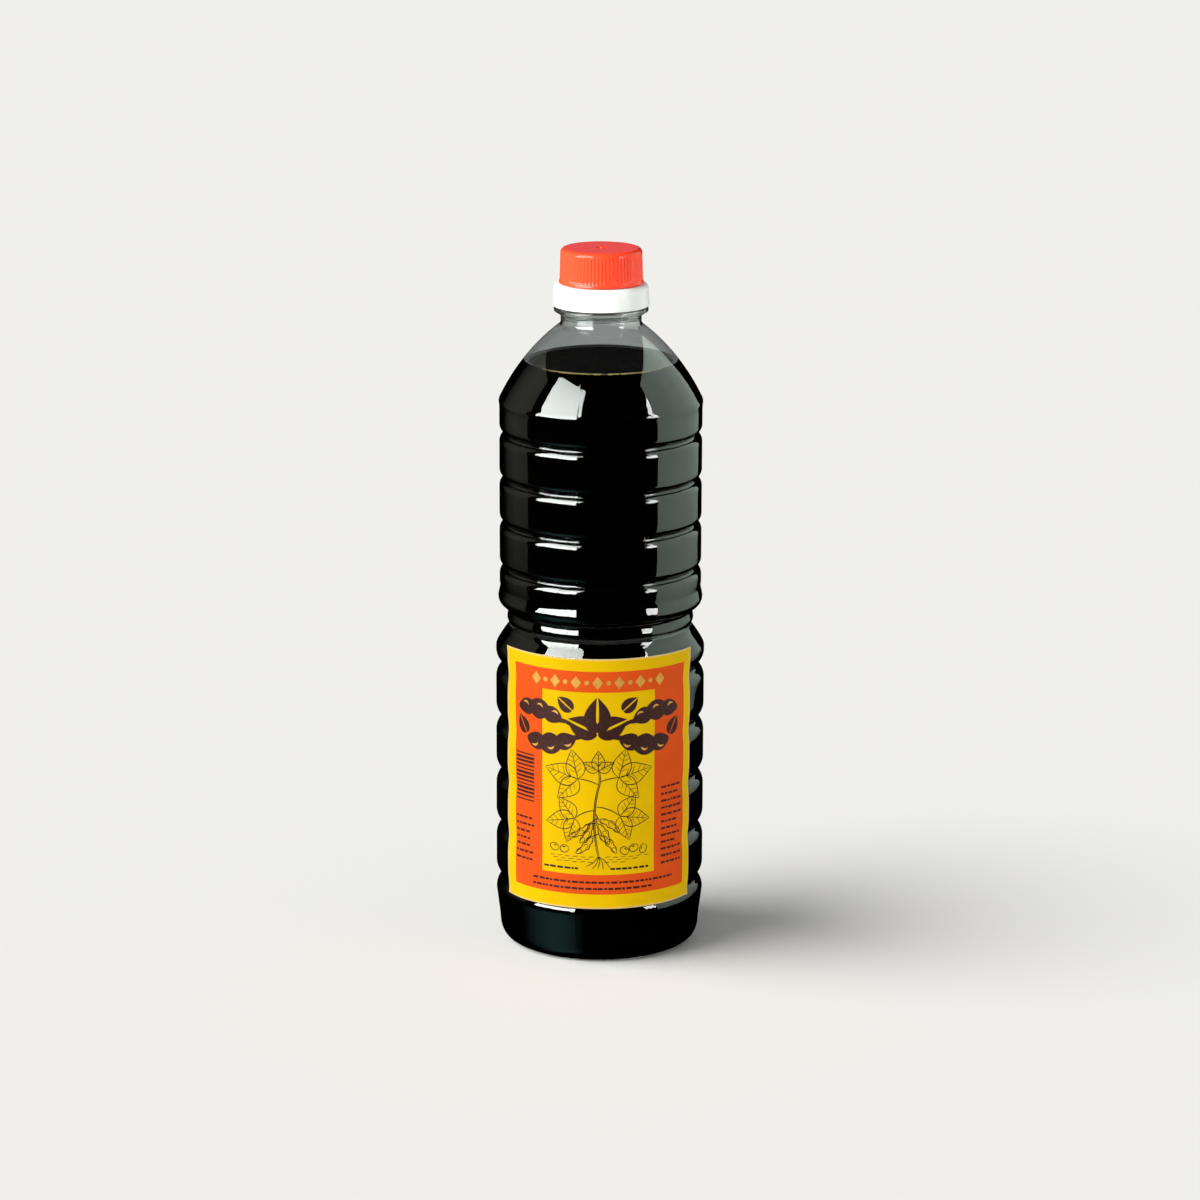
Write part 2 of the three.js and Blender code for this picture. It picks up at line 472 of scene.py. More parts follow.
@dataclass(frozen=True)
class SauceLiquid:
    """Dark sauce, black in depth and amber where it thins out at its level; the amber is kept to the front as
    painted light shining through the thin sauce.
    """

    depth_colour: Colour = (0.0006, 0.0004, 0.0003)
    cloud_colour: Colour = (0.0016, 0.0010, 0.0006)
    backlit_rim_colour: Colour = (0.2, 0.148, 0.064)
    cloud_size: float = 6.0
    speckle_size: float = 1.0
    speckle_range: tuple[float, float] = (-1.6, 3.4)
    refraction: float = 1.38
    roughness: float = 0.05
    gloss: float = 0.001
    edge_gloss: float = 0.5
    rim_start: float = 0.15
    rim_height: float = 0.5
    # Span of Y that keeps the amber rim to the front: painted light shining through the thin sauce
    rim_front: tuple[float, float] = (-17.0, -21.5)
    rim_shares: tuple[float, float] = (0.2, 0.75)

    @staticmethod
    def between(shader: Shader, source: bpy.types.NodeSocket, low: float, high: float) -> bpy.types.Node:
        """Adds a range that goes from 0 to 1 between two places.

        Args:
            shader: The material's shader.
            source: The coordinate that it reads.
            low: Place where it is 0, in millimetres.
            high: Place where it is 1, in millimetres.

        Returns:
            The range's node.
        """
        node = shader.node("ShaderNodeMapRange")
        node.inputs["From Min"].default_value = low * MM
        node.inputs["From Max"].default_value = high * MM
        shader.link(source, node.inputs["Value"])
        return node

    def surface(self, name: str, gloss: float) -> bpy.types.Material:
        """Makes a material of the free surface.

        Args:
            name: Name of the material.
            gloss: Its specular level.

        Returns:
            The material.
        """
        shader = Shader(name, roughness=self.roughness, ior=self.refraction, specular_ior_level=gloss)
        noise = shader.noise(self.cloud_size, detail=3.0)
        cloud = shader.ramp(noise, (0.4, self.depth_colour), (0.6, self.cloud_colour))
        shader.link(cloud, shader.socket("base_color"))
        return shader.material

    def depth(self, name: str, level: float) -> bpy.types.Material:
        """Makes the material of the sauce that lies against the wall, where nothing is mirrored, with an
        amber rim at the front of the level as painted light shining through the thin sauce.

        Args:
            name: Name of the material.
            level: Height of the sauce's surface.

        Returns:
            The material.
        """
        shader = Shader(name, roughness=1.0, specular_ior_level=0.0)
        axes = shader.node("ShaderNodeSeparateXYZ")
        shader.link(shader.coordinates, axes.inputs["Vector"])
        start = level + self.rim_start
        above = self.between(shader, axes.outputs["Z"], start, start + self.rim_height)
        # Keeps the amber to the front only: painted light shining through the thin sauce there
        front = self.between(shader, axes.outputs["Y"], *self.rim_front)
        share = above.outputs["Result"]
        speckle = shader.range(shader.noise(self.speckle_size, detail=5.0), *self.speckle_range)
        for factor in (front.outputs["Result"], speckle):
            product = shader.node("ShaderNodeMath", operation="MULTIPLY")
            shader.link(share, product.inputs[0])
            shader.link(factor, product.inputs[1])
            share = product.outputs[0]
        low, high = self.rim_shares
        rim = shader.ramp(share, (low, self.depth_colour), (high, self.backlit_rim_colour))
        shader.link(rim, shader.socket("base_color"))
        return shader.material


@dataclass(frozen=True)
class MouldedPlastic:
    """Opaque moulded plastic with a soft gloss, a fine moulding grain and slightly uneven colour."""

    colour: Colour
    shade: Colour
    roughness: float
    gloss: float = 0.5
    gloss_spread: float = 0.05
    refraction: float = 1.49
    cloud_size: float = 9.0
    grain_size: float = 0.35
    grain_depth: float = 0.02
    grain_strength: float = 0.35

    def material(self, name: str) -> bpy.types.Material:
        """Makes the material.

        Args:
            name: Name of the material.

        Returns:
            The material.
        """
        shader = Shader(name, ior=self.refraction, specular_ior_level=self.gloss)
        cloud = shader.noise(self.cloud_size, detail=3.0)
        colour = shader.ramp(cloud, (0.3, self.shade), (0.7, self.colour))
        shader.link(colour, shader.socket("base_color"))
        grain = shader.noise(self.grain_size, detail=2.0)
        spread = (self.roughness - self.gloss_spread, self.roughness + self.gloss_spread)
        shader.link(shader.range(grain, *spread), shader.socket("roughness"))
        shader.bump(grain, self.grain_depth, self.grain_strength)
        return shader.material


@dataclass(frozen=True)
class CoatedPaper:
    """Lightly coated label paper with a flat colour, fibres in its gloss and pale worn edges."""

    colour: Colour
    roughness: float = 0.42
    gloss: float = 0.03
    gloss_spread: tuple[float, float] = (-0.08, 0.1)
    refraction: float = 1.46
    cloud_size: float = 16.0
    dull_share: float = 0.93
    worn_share: float = 0.45
    worn_lift: float = 0.5
    chip_range: tuple[float, float] = (0.2, 1.3)
    fibre_size: float = 0.9
    fibre_depth: float = 0.03
    fibre_strength: float = 0.3

    def material(self, name: str) -> bpy.types.Material:
        """Makes the material.

        Args:
            name: Name of the material.

        Returns:
            The material.
        """
        shader = Shader(name, ior=self.refraction, specular_ior_level=self.gloss)
        fibres = shader.noise(self.fibre_size, detail=6.0)
        cloud = shader.noise(self.cloud_size, detail=4.0)
        worn = tuple(self.worn_share * c + self.worn_lift for c in self.colour)
        dull = tuple(self.dull_share * c for c in self.colour)
        tone = shader.ramp(cloud, (0.35, dull), (0.65, self.colour))
        wear = shader.node("ShaderNodeAttribute", attribute_name="wear")
        chipped = shader.node("ShaderNodeMath", operation="MULTIPLY")
        shader.link(wear.outputs["Fac"], chipped.inputs[0])
        shader.link(shader.range(fibres, *self.chip_range), chipped.inputs[1])
        mix = shader.node("ShaderNodeMix", data_type="RGBA")
        shader.link(chipped.outputs[0], mix.inputs["Factor"])
        shader.link(tone, mix.inputs[MIX_FIRST])
        mix.inputs[MIX_SECOND].default_value = (*worn, 1.0)
        shader.link(mix.outputs[MIX_RESULT], shader.socket("base_color"))
        low, high = (self.roughness + change for change in self.gloss_spread)
        shader.link(shader.range(fibres, low, high), shader.socket("roughness"))
        shader.bump(fibres, self.fibre_depth, self.fibre_strength)
        return shader.material


@dataclass(frozen=True)
class PrintInk:
    """Printing ink on the label, a little uneven."""

    colour: Colour
    faded: Colour
    metallic: float = 0.0
    roughness: float = 0.45
    gloss: float = 0.15
    speckle_size: float = 0.8

    def material(self, name: str) -> bpy.types.Material:
        """Makes the material.

        Args:
            name: Name of the material.

        Returns:
            The material.
        """
        shader = Shader(name, roughness=self.roughness, metallic=self.metallic, specular_ior_level=self.gloss)
        speckle = shader.noise(self.speckle_size, detail=5.0)
        tone = shader.ramp(speckle, (0.38, self.faded), (0.5, self.colour))
        shader.link(tone, shader.socket("base_color"))
        return shader.material


@dataclass(frozen=True)
class RibPanel:
    """A stretch of wall with rounded grooves at an even pitch.

    Into a groove the wall turns on the radius lip up to the angle soft, then on the radius edge up to the
    angle steep, and the groove's root turns it back. Where both angles are the same, edge has no effect.
    Angles are in degrees from upright.
    """

    radius: float
    depth: float
    lip: float
    edge: float
    soft: float
    steep: float
    first: float
    pitch: float
    count: int
    lip_steps: int = 7
    root_steps: int = 4

    def heights(self) -> list[float]:
        """The height of each groove's middle."""
        return [self.first + rib * self.pitch for rib in range(self.count)]

    def outline(self) -> list[Point]:
        """Outline of the panel.

        Returns:
            Profile points from below the first groove to above the last.
        """
        lip_steps, root_steps = self.lip_steps, self.root_steps
        soft, steep = math.radians(self.soft), math.radians(self.steep)
        inset = self.lip * (1 - math.cos(soft)) + self.edge * (math.cos(soft) - math.cos(steep))
        root = (self.depth - inset) / (1 - math.cos(steep))
        half = self.lip * math.sin(soft) + self.edge * (math.sin(steep) - math.sin(soft))
        half += root * math.sin(steep)
        shift = self.lip - self.edge
        turn = (self.radius - self.lip + shift * math.cos(soft), half - shift * math.sin(soft))
        points: list[Point] = []
        for middle in self.heights():
            points.append((self.radius, middle - half))
            points += arc((self.radius - self.lip, middle - half), self.lip, 0, soft, lip_steps)
            points += arc((turn[0], middle - turn[1]), self.edge, soft, steep, root_steps)
            bottom = (self.radius - self.depth + root, middle)
            points += arc(bottom, root, math.pi + steep, math.pi - steep, 2 * root_steps)
            points += arc((turn[0], middle + turn[1]), self.edge, -steep, -soft, root_steps)
            points += arc((self.radius - self.lip, middle + half), self.lip, -soft, 0, lip_steps)
        return points


@dataclass
class Bottle:
    """The clear bottle: foot, two ribbed panels, waist, shoulder, neck and support flange."""

    lower: RibPanel
    upper: RibPanel
    push_up: float = 7.0
    foot_inner: float = 29.5
    foot_radius: float = 32.6
    heel_height: float = 8.0
    base_radius: float = 38.2
    crest_end: float = 115.4
    flare_control: float = 116.7
    waist_radius: float = 34.9
    waist_bottom: float = 123.2
    waist_ring: tuple[Point, ...] = (
        (34.75, 124.6), (34.78, 125.3), (35.18, 125.9), (35.32, 126.4), (35.31, 127.2), (35.24, 127.6),
        (34.82, 129.1), (34.76, 129.4), (34.74, 130.9))
    rise_control: float = 131.8
    low_bead: Point = (38.75, 135.0)
    bead_flank: tuple[Point, ...] = (
        (38.72, 135.3), (38.65, 135.6), (37.98, 138.7), (37.96, 139.0), (38.2, 140.4))
    high_bead: Point = (38.45, 209.9)
    bead_reach: float = 3.0
    bead_turn: float = 1.0
    shoulder_start: Point = (37.8, 211.9)
    shoulder_end: Point = (15.6, 239.3)
    shoulder_bulge: float = 2.0
    neck_control: float = 239.75
    neck_radius: float = 15.15
    neck_bottom: float = 240.6
    flange_radius: float = 17.7
    flange_slope: float = 1.4
    flange_bottom: float = 244.2
    flange_top: float = 245.7
    flange_edge: float = 0.35
    mouth_height: float = 254.3
    wall: float = 0.5
    foot_wall: float = 0.8
    foot_fade: Point = (2.0, 14.0)
    neck_wall: float = 1.1
    neck_fade: Point = (-3.0, 1.0)
    wave_depth: float = 0.035
    ripple_depth: float = 0.022
    wave_start: Point = (3.0, 12.0)
    wave_end: Point = (241.0, 236.0)
    seam_angle: float = -13.6
    seam_height: float = 0.024
    seam_width: float = 0.16
    seam_slope: float = 0.4
    seam_reach: float = 1.4
    seam_clear: float = 0.3
    seam_columns: int = 13
    columns: int = 152
    curve_steps: int = 10
    neck_steps: int = 5
    shoulder_steps: int = 22
    longest_step: float = 2.6
    hidden_step: int = 3
    finish: ClearPlastic = field(default_factory=ClearPlastic)

    def shoulder(self) -> list[Point]:
        """The gently bulging slope from the upper panel to the neck.

        Returns:
            Profile points from just after its start to its end.
        """
        start, end = np.array(self.shoulder_start), np.array(self.shoulder_end)
        along = (end - start) / np.linalg.norm(end - start)
        outward = np.array([along[1], -along[0]])
        control = (start + end) / 2 + outward * 2 * self.shoulder_bulge
        return bend(self.shoulder_start, tuple(control), self.shoulder_end, self.shoulder_steps)

    def body_outline(self) -> np.ndarray:
        """Outside of the bottle from the middle of its base to the top of its neck's bend.

        Returns:
            The profile, with a row for each point.
        """
        lower, upper, steps = self.lower, self.upper, self.curve_steps
        middle, foot = (0.0, self.push_up), (self.foot_radius, 0.0)
        crest, waist = (lower.radius, self.crest_end), (self.waist_radius, self.waist_bottom)
        bead_radius, bead_height = self.high_bead
        neck = (self.neck_radius, self.neck_bottom)
        points = [middle, *bend(middle, (self.foot_inner / 2, self.push_up), (self.foot_inner, 0.0), steps)]
        points += [foot, *bend(foot, (self.base_radius, 0.0), (self.base_radius, self.heel_height), steps)]
        points += lower.outline()
        points += [crest, *bend(crest, (lower.radius, self.flare_control), waist, steps)]
        points += self.waist_ring
        points += bend(points[-1], (self.low_bead[0], self.rise_control), self.low_bead, steps)
        points += self.bead_flank
        points += upper.outline()
        points += [(upper.radius, bead_height - self.bead_reach)]
        points += bend(points[-1], (upper.radius, bead_height - self.bead_turn), self.high_bead, EDGE_STEPS)
        over = (bead_radius, bead_height + self.bead_turn)
        points += bend(self.high_bead, over, self.shoulder_start, EDGE_STEPS)
        points += self.shoulder()
        points += bend(self.shoulder_end, (self.neck_radius, self.neck_control), neck, self.neck_steps)
        return densify(points, self.longest_step)

    def neck_outline(self) -> np.ndarray:
        """Outside of the neck with its flange, from the bend to the rim, and the bore down again.

        Returns:
            The profile, with a row for each point.
        """
        edge, neck, rim = self.flange_edge, self.neck_radius, self.flange_radius
        low, high, mouth = self.flange_bottom, self.flange_top, self.mouth_height
        bore = neck - self.neck_wall
        points = [(neck, low - self.flange_slope), (rim - edge, low)]
        points += bend(points[-1], (rim, low + edge / 2), (rim, low + edge), EDGE_STEPS)
        points += [(rim, high - edge)]
        points += bend(points[-1], (rim, high), (rim - edge, high), EDGE_STEPS)
        points += [(neck, high), (neck, mouth - edge)]
        points += bend(points[-1], (neck, mouth), (neck - edge, mouth), EDGE_STEPS)
        points += [(bore + edge, mouth)]
        points += bend(points[-1], (bore, mouth), (bore, mouth - edge), EDGE_STEPS)
        points += [(bore, self.neck_bottom)]
        return densify(points, self.longest_step)

    def wall_at(self, heights: np.ndarray) -> np.ndarray:
        """Wall thickness: thin in the body, thicker in the foot and towards the neck.

        Args:
            heights: Heights to give it for.

        Returns:
            The thickness at each height.
        """
        foot = self.foot_wall * (1 - ease(heights, *self.foot_fade))
        neck = (self.neck_wall - self.wall) * ease(heights - self.neck_bottom, *self.neck_fade)
        return self.wall + foot + neck

    def inside(self, share: float) -> np.ndarray:
        """A profile inside the wall, by a share of its thickness, from the base upwards."""
        outline = self.body_outline()
        return inwards(outline, self.wall_at(outline[:, 1]) * share)

    def bore(self) -> np.ndarray:
        """The wall's inside from the neck down to the base, with fewer points below the shoulder.

        Returns:
            The profile, with a row for each point.
        """
        inside = self.inside(1.0)
        shown = inside[:, 1] > self.shoulder_start[1]
        kept = shown | (np.arange(len(inside)) % self.hidden_step == 0)
        return inside[kept][-2::-1]

    def angles(self) -> np.ndarray:
        """Columns round the bottle, closer together at the two mould seams.

        Returns:
            Angles from the front, in radians.
        """
        even = np.linspace(-math.pi, math.pi, self.columns, endpoint=False)
        reach = self.seam_reach * self.seam_slope / self.lower.radius
        seam = math.radians(self.seam_angle)
        near = [np.linspace(s - reach, s + reach, self.seam_columns) for s in (seam, seam + math.pi)]
        clear = [a for a in even if all(min(abs(a - n)) > self.seam_clear * reach for n in near)]
        return np.unique(np.concatenate([clear, *near]))

    def relief(self, angle: np.ndarray, radius: np.ndarray, height: np.ndarray) -> np.ndarray:
        """Adds the mould seams and the slight waviness of a blown wall.

        Args:
            angle: Angle of each point.
            radius: Distance from the axis of each point.
            height: Height of each point.

        Returns:
            The new distance from the axis.
        """
        fade = ease(height, *self.wave_start) * ease(height, *self.wave_end)
        wave = self.wave_depth * np.sin(3 * angle + height / 19.0) * np.sin(height / 31.0 + 1.3)
        wave += self.ripple_depth * np.sin(5 * angle - height / 11.0 + 0.7)
        seam = np.zeros_like(radius)
        for side in (0.0, math.pi):
            away = np.angle(np.exp(1j * (angle - math.radians(self.seam_angle) - side))) * radius
            width = np.where(away < 0, self.seam_width, self.seam_slope)
            seam += self.seam_height * np.exp(-((away / width) ** 2))
        return radius + fade * (wave + seam)

    def build(self) -> bpy.types.Object:
        """Makes the bottle as one closed wall with an open mouth.

        Returns:
            The bottle's piece.
        """
        profile = np.concatenate([self.body_outline(), self.neck_outline(), self.bore()])
        sketch = MeshSketch()
        sketch.turn(profile, self.angles(), self.relief)
        bottle = sketch.build("clear_bottle", [self.finish.material("clear_plastic")])
        bottle.visible_shadow = False
        return put_on_body(bottle, Slot.BOTTLE, "bottle")


@dataclass
class Sauce:
    """The soy sauce, which reaches just into the wall and climbs a little where it meets it."""

    bottle: Bottle
    level: float
    wall_share: float = 0.55
    climb: float = 0.8
    climb_reach: float = 2.4
    climb_span: float = 2.5
    climb_fall: float = 2.2
    climb_steps: int = 13
    mirror_height: float = 0.15
    finish: SauceLiquid = field(default_factory=SauceLiquid)

    def profile(self) -> tuple[np.ndarray, int]:
        """Profile of the sauce from the middle of its base to the middle of its surface.

        Returns:
            The profile, and the number of the point where the wall ends and the surface begins.
        """
        inside = self.bottle.inside(self.wall_share)
        rim_height = self.level + self.climb
        below = inside[inside[:, 1] < rim_height]
        body = below[: int(np.argmax(below[:, 1])) + 1]
        following = inside[len(body)]
        share = (rim_height - body[-1, 1]) / (following[1] - body[-1, 1])
        rim = body[-1] + (following - body[-1]) * share
        away = np.linspace(0.0, self.climb_reach * self.climb_span, self.climb_steps + 1)[1:]
        rise = self.climb * np.exp(-away / self.climb_reach * self.climb_fall)
        meniscus = np.stack([rim[0] - away, self.level + rise], axis=1)
        flat = [(meniscus[-1, 0] * s, self.level) for s in (0.75, 0.5, 0.25, 0.0)]
        return np.concatenate([body, [rim], meniscus, flat]), len(body)

    def build(self) -> bpy.types.Object:
        """Makes the sauce.

        Returns:
            The sauce's piece.
        """
        sketch = MeshSketch()
        profile, rim = self.profile()
        middles = (profile[1:, 1] + profile[:-1, 1]) / 2
        free = np.where(middles > self.level + self.mirror_height, Zone.CLIMB.value, Zone.STILL.value)
        numbers = np.where(np.arange(len(middles)) < rim, Zone.WALL.value, free)
        sketch.turn(profile, self.bottle.angles(), self.bottle.relief, numbers)
        finish = self.finish
        finishes = [
            finish.depth("sauce_depth", self.level),
            finish.surface("sauce_edge", finish.edge_gloss),
            finish.surface("sauce_surface", finish.gloss),
        ]
        sauce = sketch.build("sauce", finishes)
        return put_on_body(sauce, Slot.SAUCE, "soy_sauce")


@dataclass
class Collar:
    """The white ring round the neck, with a rounded upper edge, a thin web over the mouth and a recessed gap
    below that is painted dark as shade.
    """

    bottom: float
    top: float
    foot_radius: float = 18.0
    radius: float = 17.7
    edge: float = 1.9
    bore: float = 15.4
    web: float = 0.3
    gap: float = 0.45
    gap_depth: float = 0.35
    foot_edge: float = 0.25
    columns: int = 160
    edge_steps: int = 10
    longest_step: float = 1.5
    finish: MouldedPlastic = MouldedPlastic(
        colour=(0.80, 0.82, 0.795), shade=(0.77, 0.795, 0.765), roughness=0.32, gloss=0.2)
    # Near-black finish of the recessed gap: painted shade, for the shadow in the gap under the collar
    painted_shade_finish: MouldedPlastic = MouldedPlastic(
        colour=(0.05, 0.05, 0.045), shade=(0.035, 0.035, 0.03), roughness=0.6)

    def profile(self) -> np.ndarray:
        """Profile of the collar.

        Returns:
            Points from the middle of the web's underside to the middle of its top.
        """
        inner, low = self.foot_radius - self.gap_depth, self.bottom + self.gap
        foot, small = self.foot_radius, self.foot_edge
        points = [(0.0, self.top - self.web), (self.bore, self.top - self.web), (self.bore, self.bottom)]
        points += [(inner, self.bottom), (inner, low), (foot - small, low)]
        points += bend(points[-1], (foot, low), (foot, low + small), EDGE_STEPS)
        points += [(self.radius, self.top - self.edge)]
        centre = (self.radius - self.edge, self.top - self.edge)
        points += arc(centre, self.edge, 0, math.pi / 2, self.edge_steps)
        points += [(0.0, self.top)]
        return densify(points, self.longest_step)

    def build(self) -> bpy.types.Object:
        """Makes the collar.

        Returns:
            The collar's piece.
        """
        sketch = MeshSketch()
        profile = self.profile()
        # Faces of the recessed gap, which take the painted shade
        painted_shade_rows = (profile[:-1, 1] + profile[1:, 1]) / 2 < self.bottom + self.gap - TINY
        angles = np.linspace(-math.pi, math.pi, self.columns, endpoint=False)
        sketch.turn(profile, angles, row_numbers=painted_shade_rows.astype(int))
        finishes = [self.finish.material("white_plastic"), self.painted_shade_finish.material("collar_painted_shade")]
        collar = sketch.build("collar_ring", finishes)
        return put_on_body(collar, Slot.COLLAR, "collar")


@dataclass
class Cap:
    """The screw cap: a smooth lip below, fine upright knurls, a rounded edge and a gate mark on top."""

    bottom: float
    top: float
    lip_radius: float = 15.85
    lip_height: float = 0.9
    foot_radius: float = 15.6
    radius: float = 15.3
    edge: float = 1.7
    knurls: int = 70
    knurl_depth: float = 0.2
    knurl_clear: float = 0.9
    knurl_overlap: float = 0.3
    knurl_power: float = 1.6
    lip_edge: float = 0.25
    dimple_radius: float = 1.7
    dimple_depth: float = 0.25
    pip_radius: float = 0.55
    pip_height: float = 0.25
    columns_per_knurl: int = 8
    edge_steps: int = 12
    longest_step: float = 0.8
    finish: MouldedPlastic = MouldedPlastic(
        colour=(0.98, 0.059, 0.022), shade=(0.96, 0.054, 0.020), roughness=0.1, gloss=0.17)

    def profile(self) -> np.ndarray:
        """Profile of the cap.

        Returns:
            Points from the middle of the underside to the middle of the top.
        """
        lip, small = self.lip_radius, self.lip_edge
        lip_top = self.bottom + self.lip_height
        points = [(0.0, self.bottom), (lip - small, self.bottom)]
        points += bend(points[-1], (lip, self.bottom), (lip, self.bottom + small), EDGE_STEPS)
        foot = (self.foot_radius, lip_top + small)
        points += bend(points[-1], (lip, lip_top - small), foot, EDGE_STEPS + 1)
        points += [(self.radius, self.top - self.edge)]
        centre = (self.radius - self.edge, self.top - self.edge)
        points += arc(centre, self.edge, 0, math.pi / 2, self.edge_steps)
        points += self.gate_mark()
        return densify(points, self.longest_step)

    def gate_mark(self) -> list[Point]:
        """Profile of the gate mark: a shallow dimple in the top, with a small pip in its middle.

        Returns:
            Points from the dimple's edge to the middle of the pip.
        """
        dimple, pip = self.dimple_radius, self.pip_radius
        floor, peak = self.top - self.dimple_depth, self.top + self.pip_height
        points = [(dimple + 0.4, self.top)]
        points += bend(points[-1], (dimple, self.top), (dimple - 0.3, floor), EDGE_STEPS)
        points += [(pip + 0.25, floor)]
        points += bend(points[-1], (pip, floor), (pip - 0.1, self.top + 0.1), EDGE_STEPS)
        points += bend(points[-1], (pip - 0.15, peak), (0.0, peak), EDGE_STEPS)
        return points

    def relief(self, angle: np.ndarray, radius: np.ndarray, height: np.ndarray) -> np.ndarray:
        """Sinks rounded grooves between the knurls, fading out at the lip and at the rounded edge.

        Args:
            angle: Angle of each point.
            radius: Distance from the axis of each point.
            height: Height of each point.

        Returns:
            The new distance from the axis.
        """
        low = self.bottom + self.lip_height
        high = self.top - self.edge
        band = ease(height, low, low + self.knurl_clear)
        band *= ease(height, high + self.knurl_overlap, high - self.knurl_clear)
        band *= radius > self.radius - self.edge
        valley = (0.5 - 0.5 * np.cos(self.knurls * angle)) ** self.knurl_power
        return radius - self.knurl_depth * band * valley

    def build(self) -> bpy.types.Object:
        """Makes the cap.

        Returns:
            The cap's piece.
        """
        angles = np.linspace(-math.pi, math.pi, self.knurls * self.columns_per_knurl, endpoint=False)
        sketch = MeshSketch()
        sketch.turn(self.profile(), angles, self.relief)
        cap = sketch.build("screw_cap", [self.finish.material("cap_plastic")])
        return put_on_body(cap, Slot.CAP, "cap")


@dataclass
class Stroke:
    """One printed mark: a line on the label with a width that changes along it.

    Places are in millimetres from the label's middle, to the right and upwards.
    """

    FEWEST_STEPS = 4

    line: np.ndarray
    half_width: np.ndarray

    @staticmethod
    def along(points: Sequence[Point], half_width: Taper, step: float = 0.6) -> "Stroke":
        """Makes a stroke along a polyline.

        Args:
            points: Points of the line.
            half_width: Half the width for shares of 0 to 1 along the line.
            step: Longest step along the line.

        Returns:
            The stroke.
        """
        corners = np.array(points, float)
        lengths = np.r_[0, np.cumsum(np.linalg.norm(np.diff(corners, axis=0), axis=1))]
        count = max(Stroke.FEWEST_STEPS, math.ceil(lengths[-1] / step))
        share = np.linspace(0, 1, count + 1)
        line = np.stack([np.interp(share * lengths[-1], lengths, corners[:, i]) for i in (0, 1)], axis=1)
        return Stroke(line, half_width(share))

    def patch(self, widest: float = 1.2) -> np.ndarray:
        """Points of the mark as a grid.

        Args:
            widest: About the widest that a quad may be.

        Returns:
            Points in rows along the line and columns across it.
        """
        along = np.gradient(self.line, axis=0)
        along /= np.maximum(np.linalg.norm(along, axis=1, keepdims=True), TINY)
        across = np.stack([along[:, 1], -along[:, 0]], axis=1)
        count = 2 + 2 * math.ceil(float(self.half_width.max()) / widest)
        reach = np.linspace(-1, 1, count)[None, :, None] * self.half_width[:, None, None]
        return self.line[:, None] + across[:, None] * reach


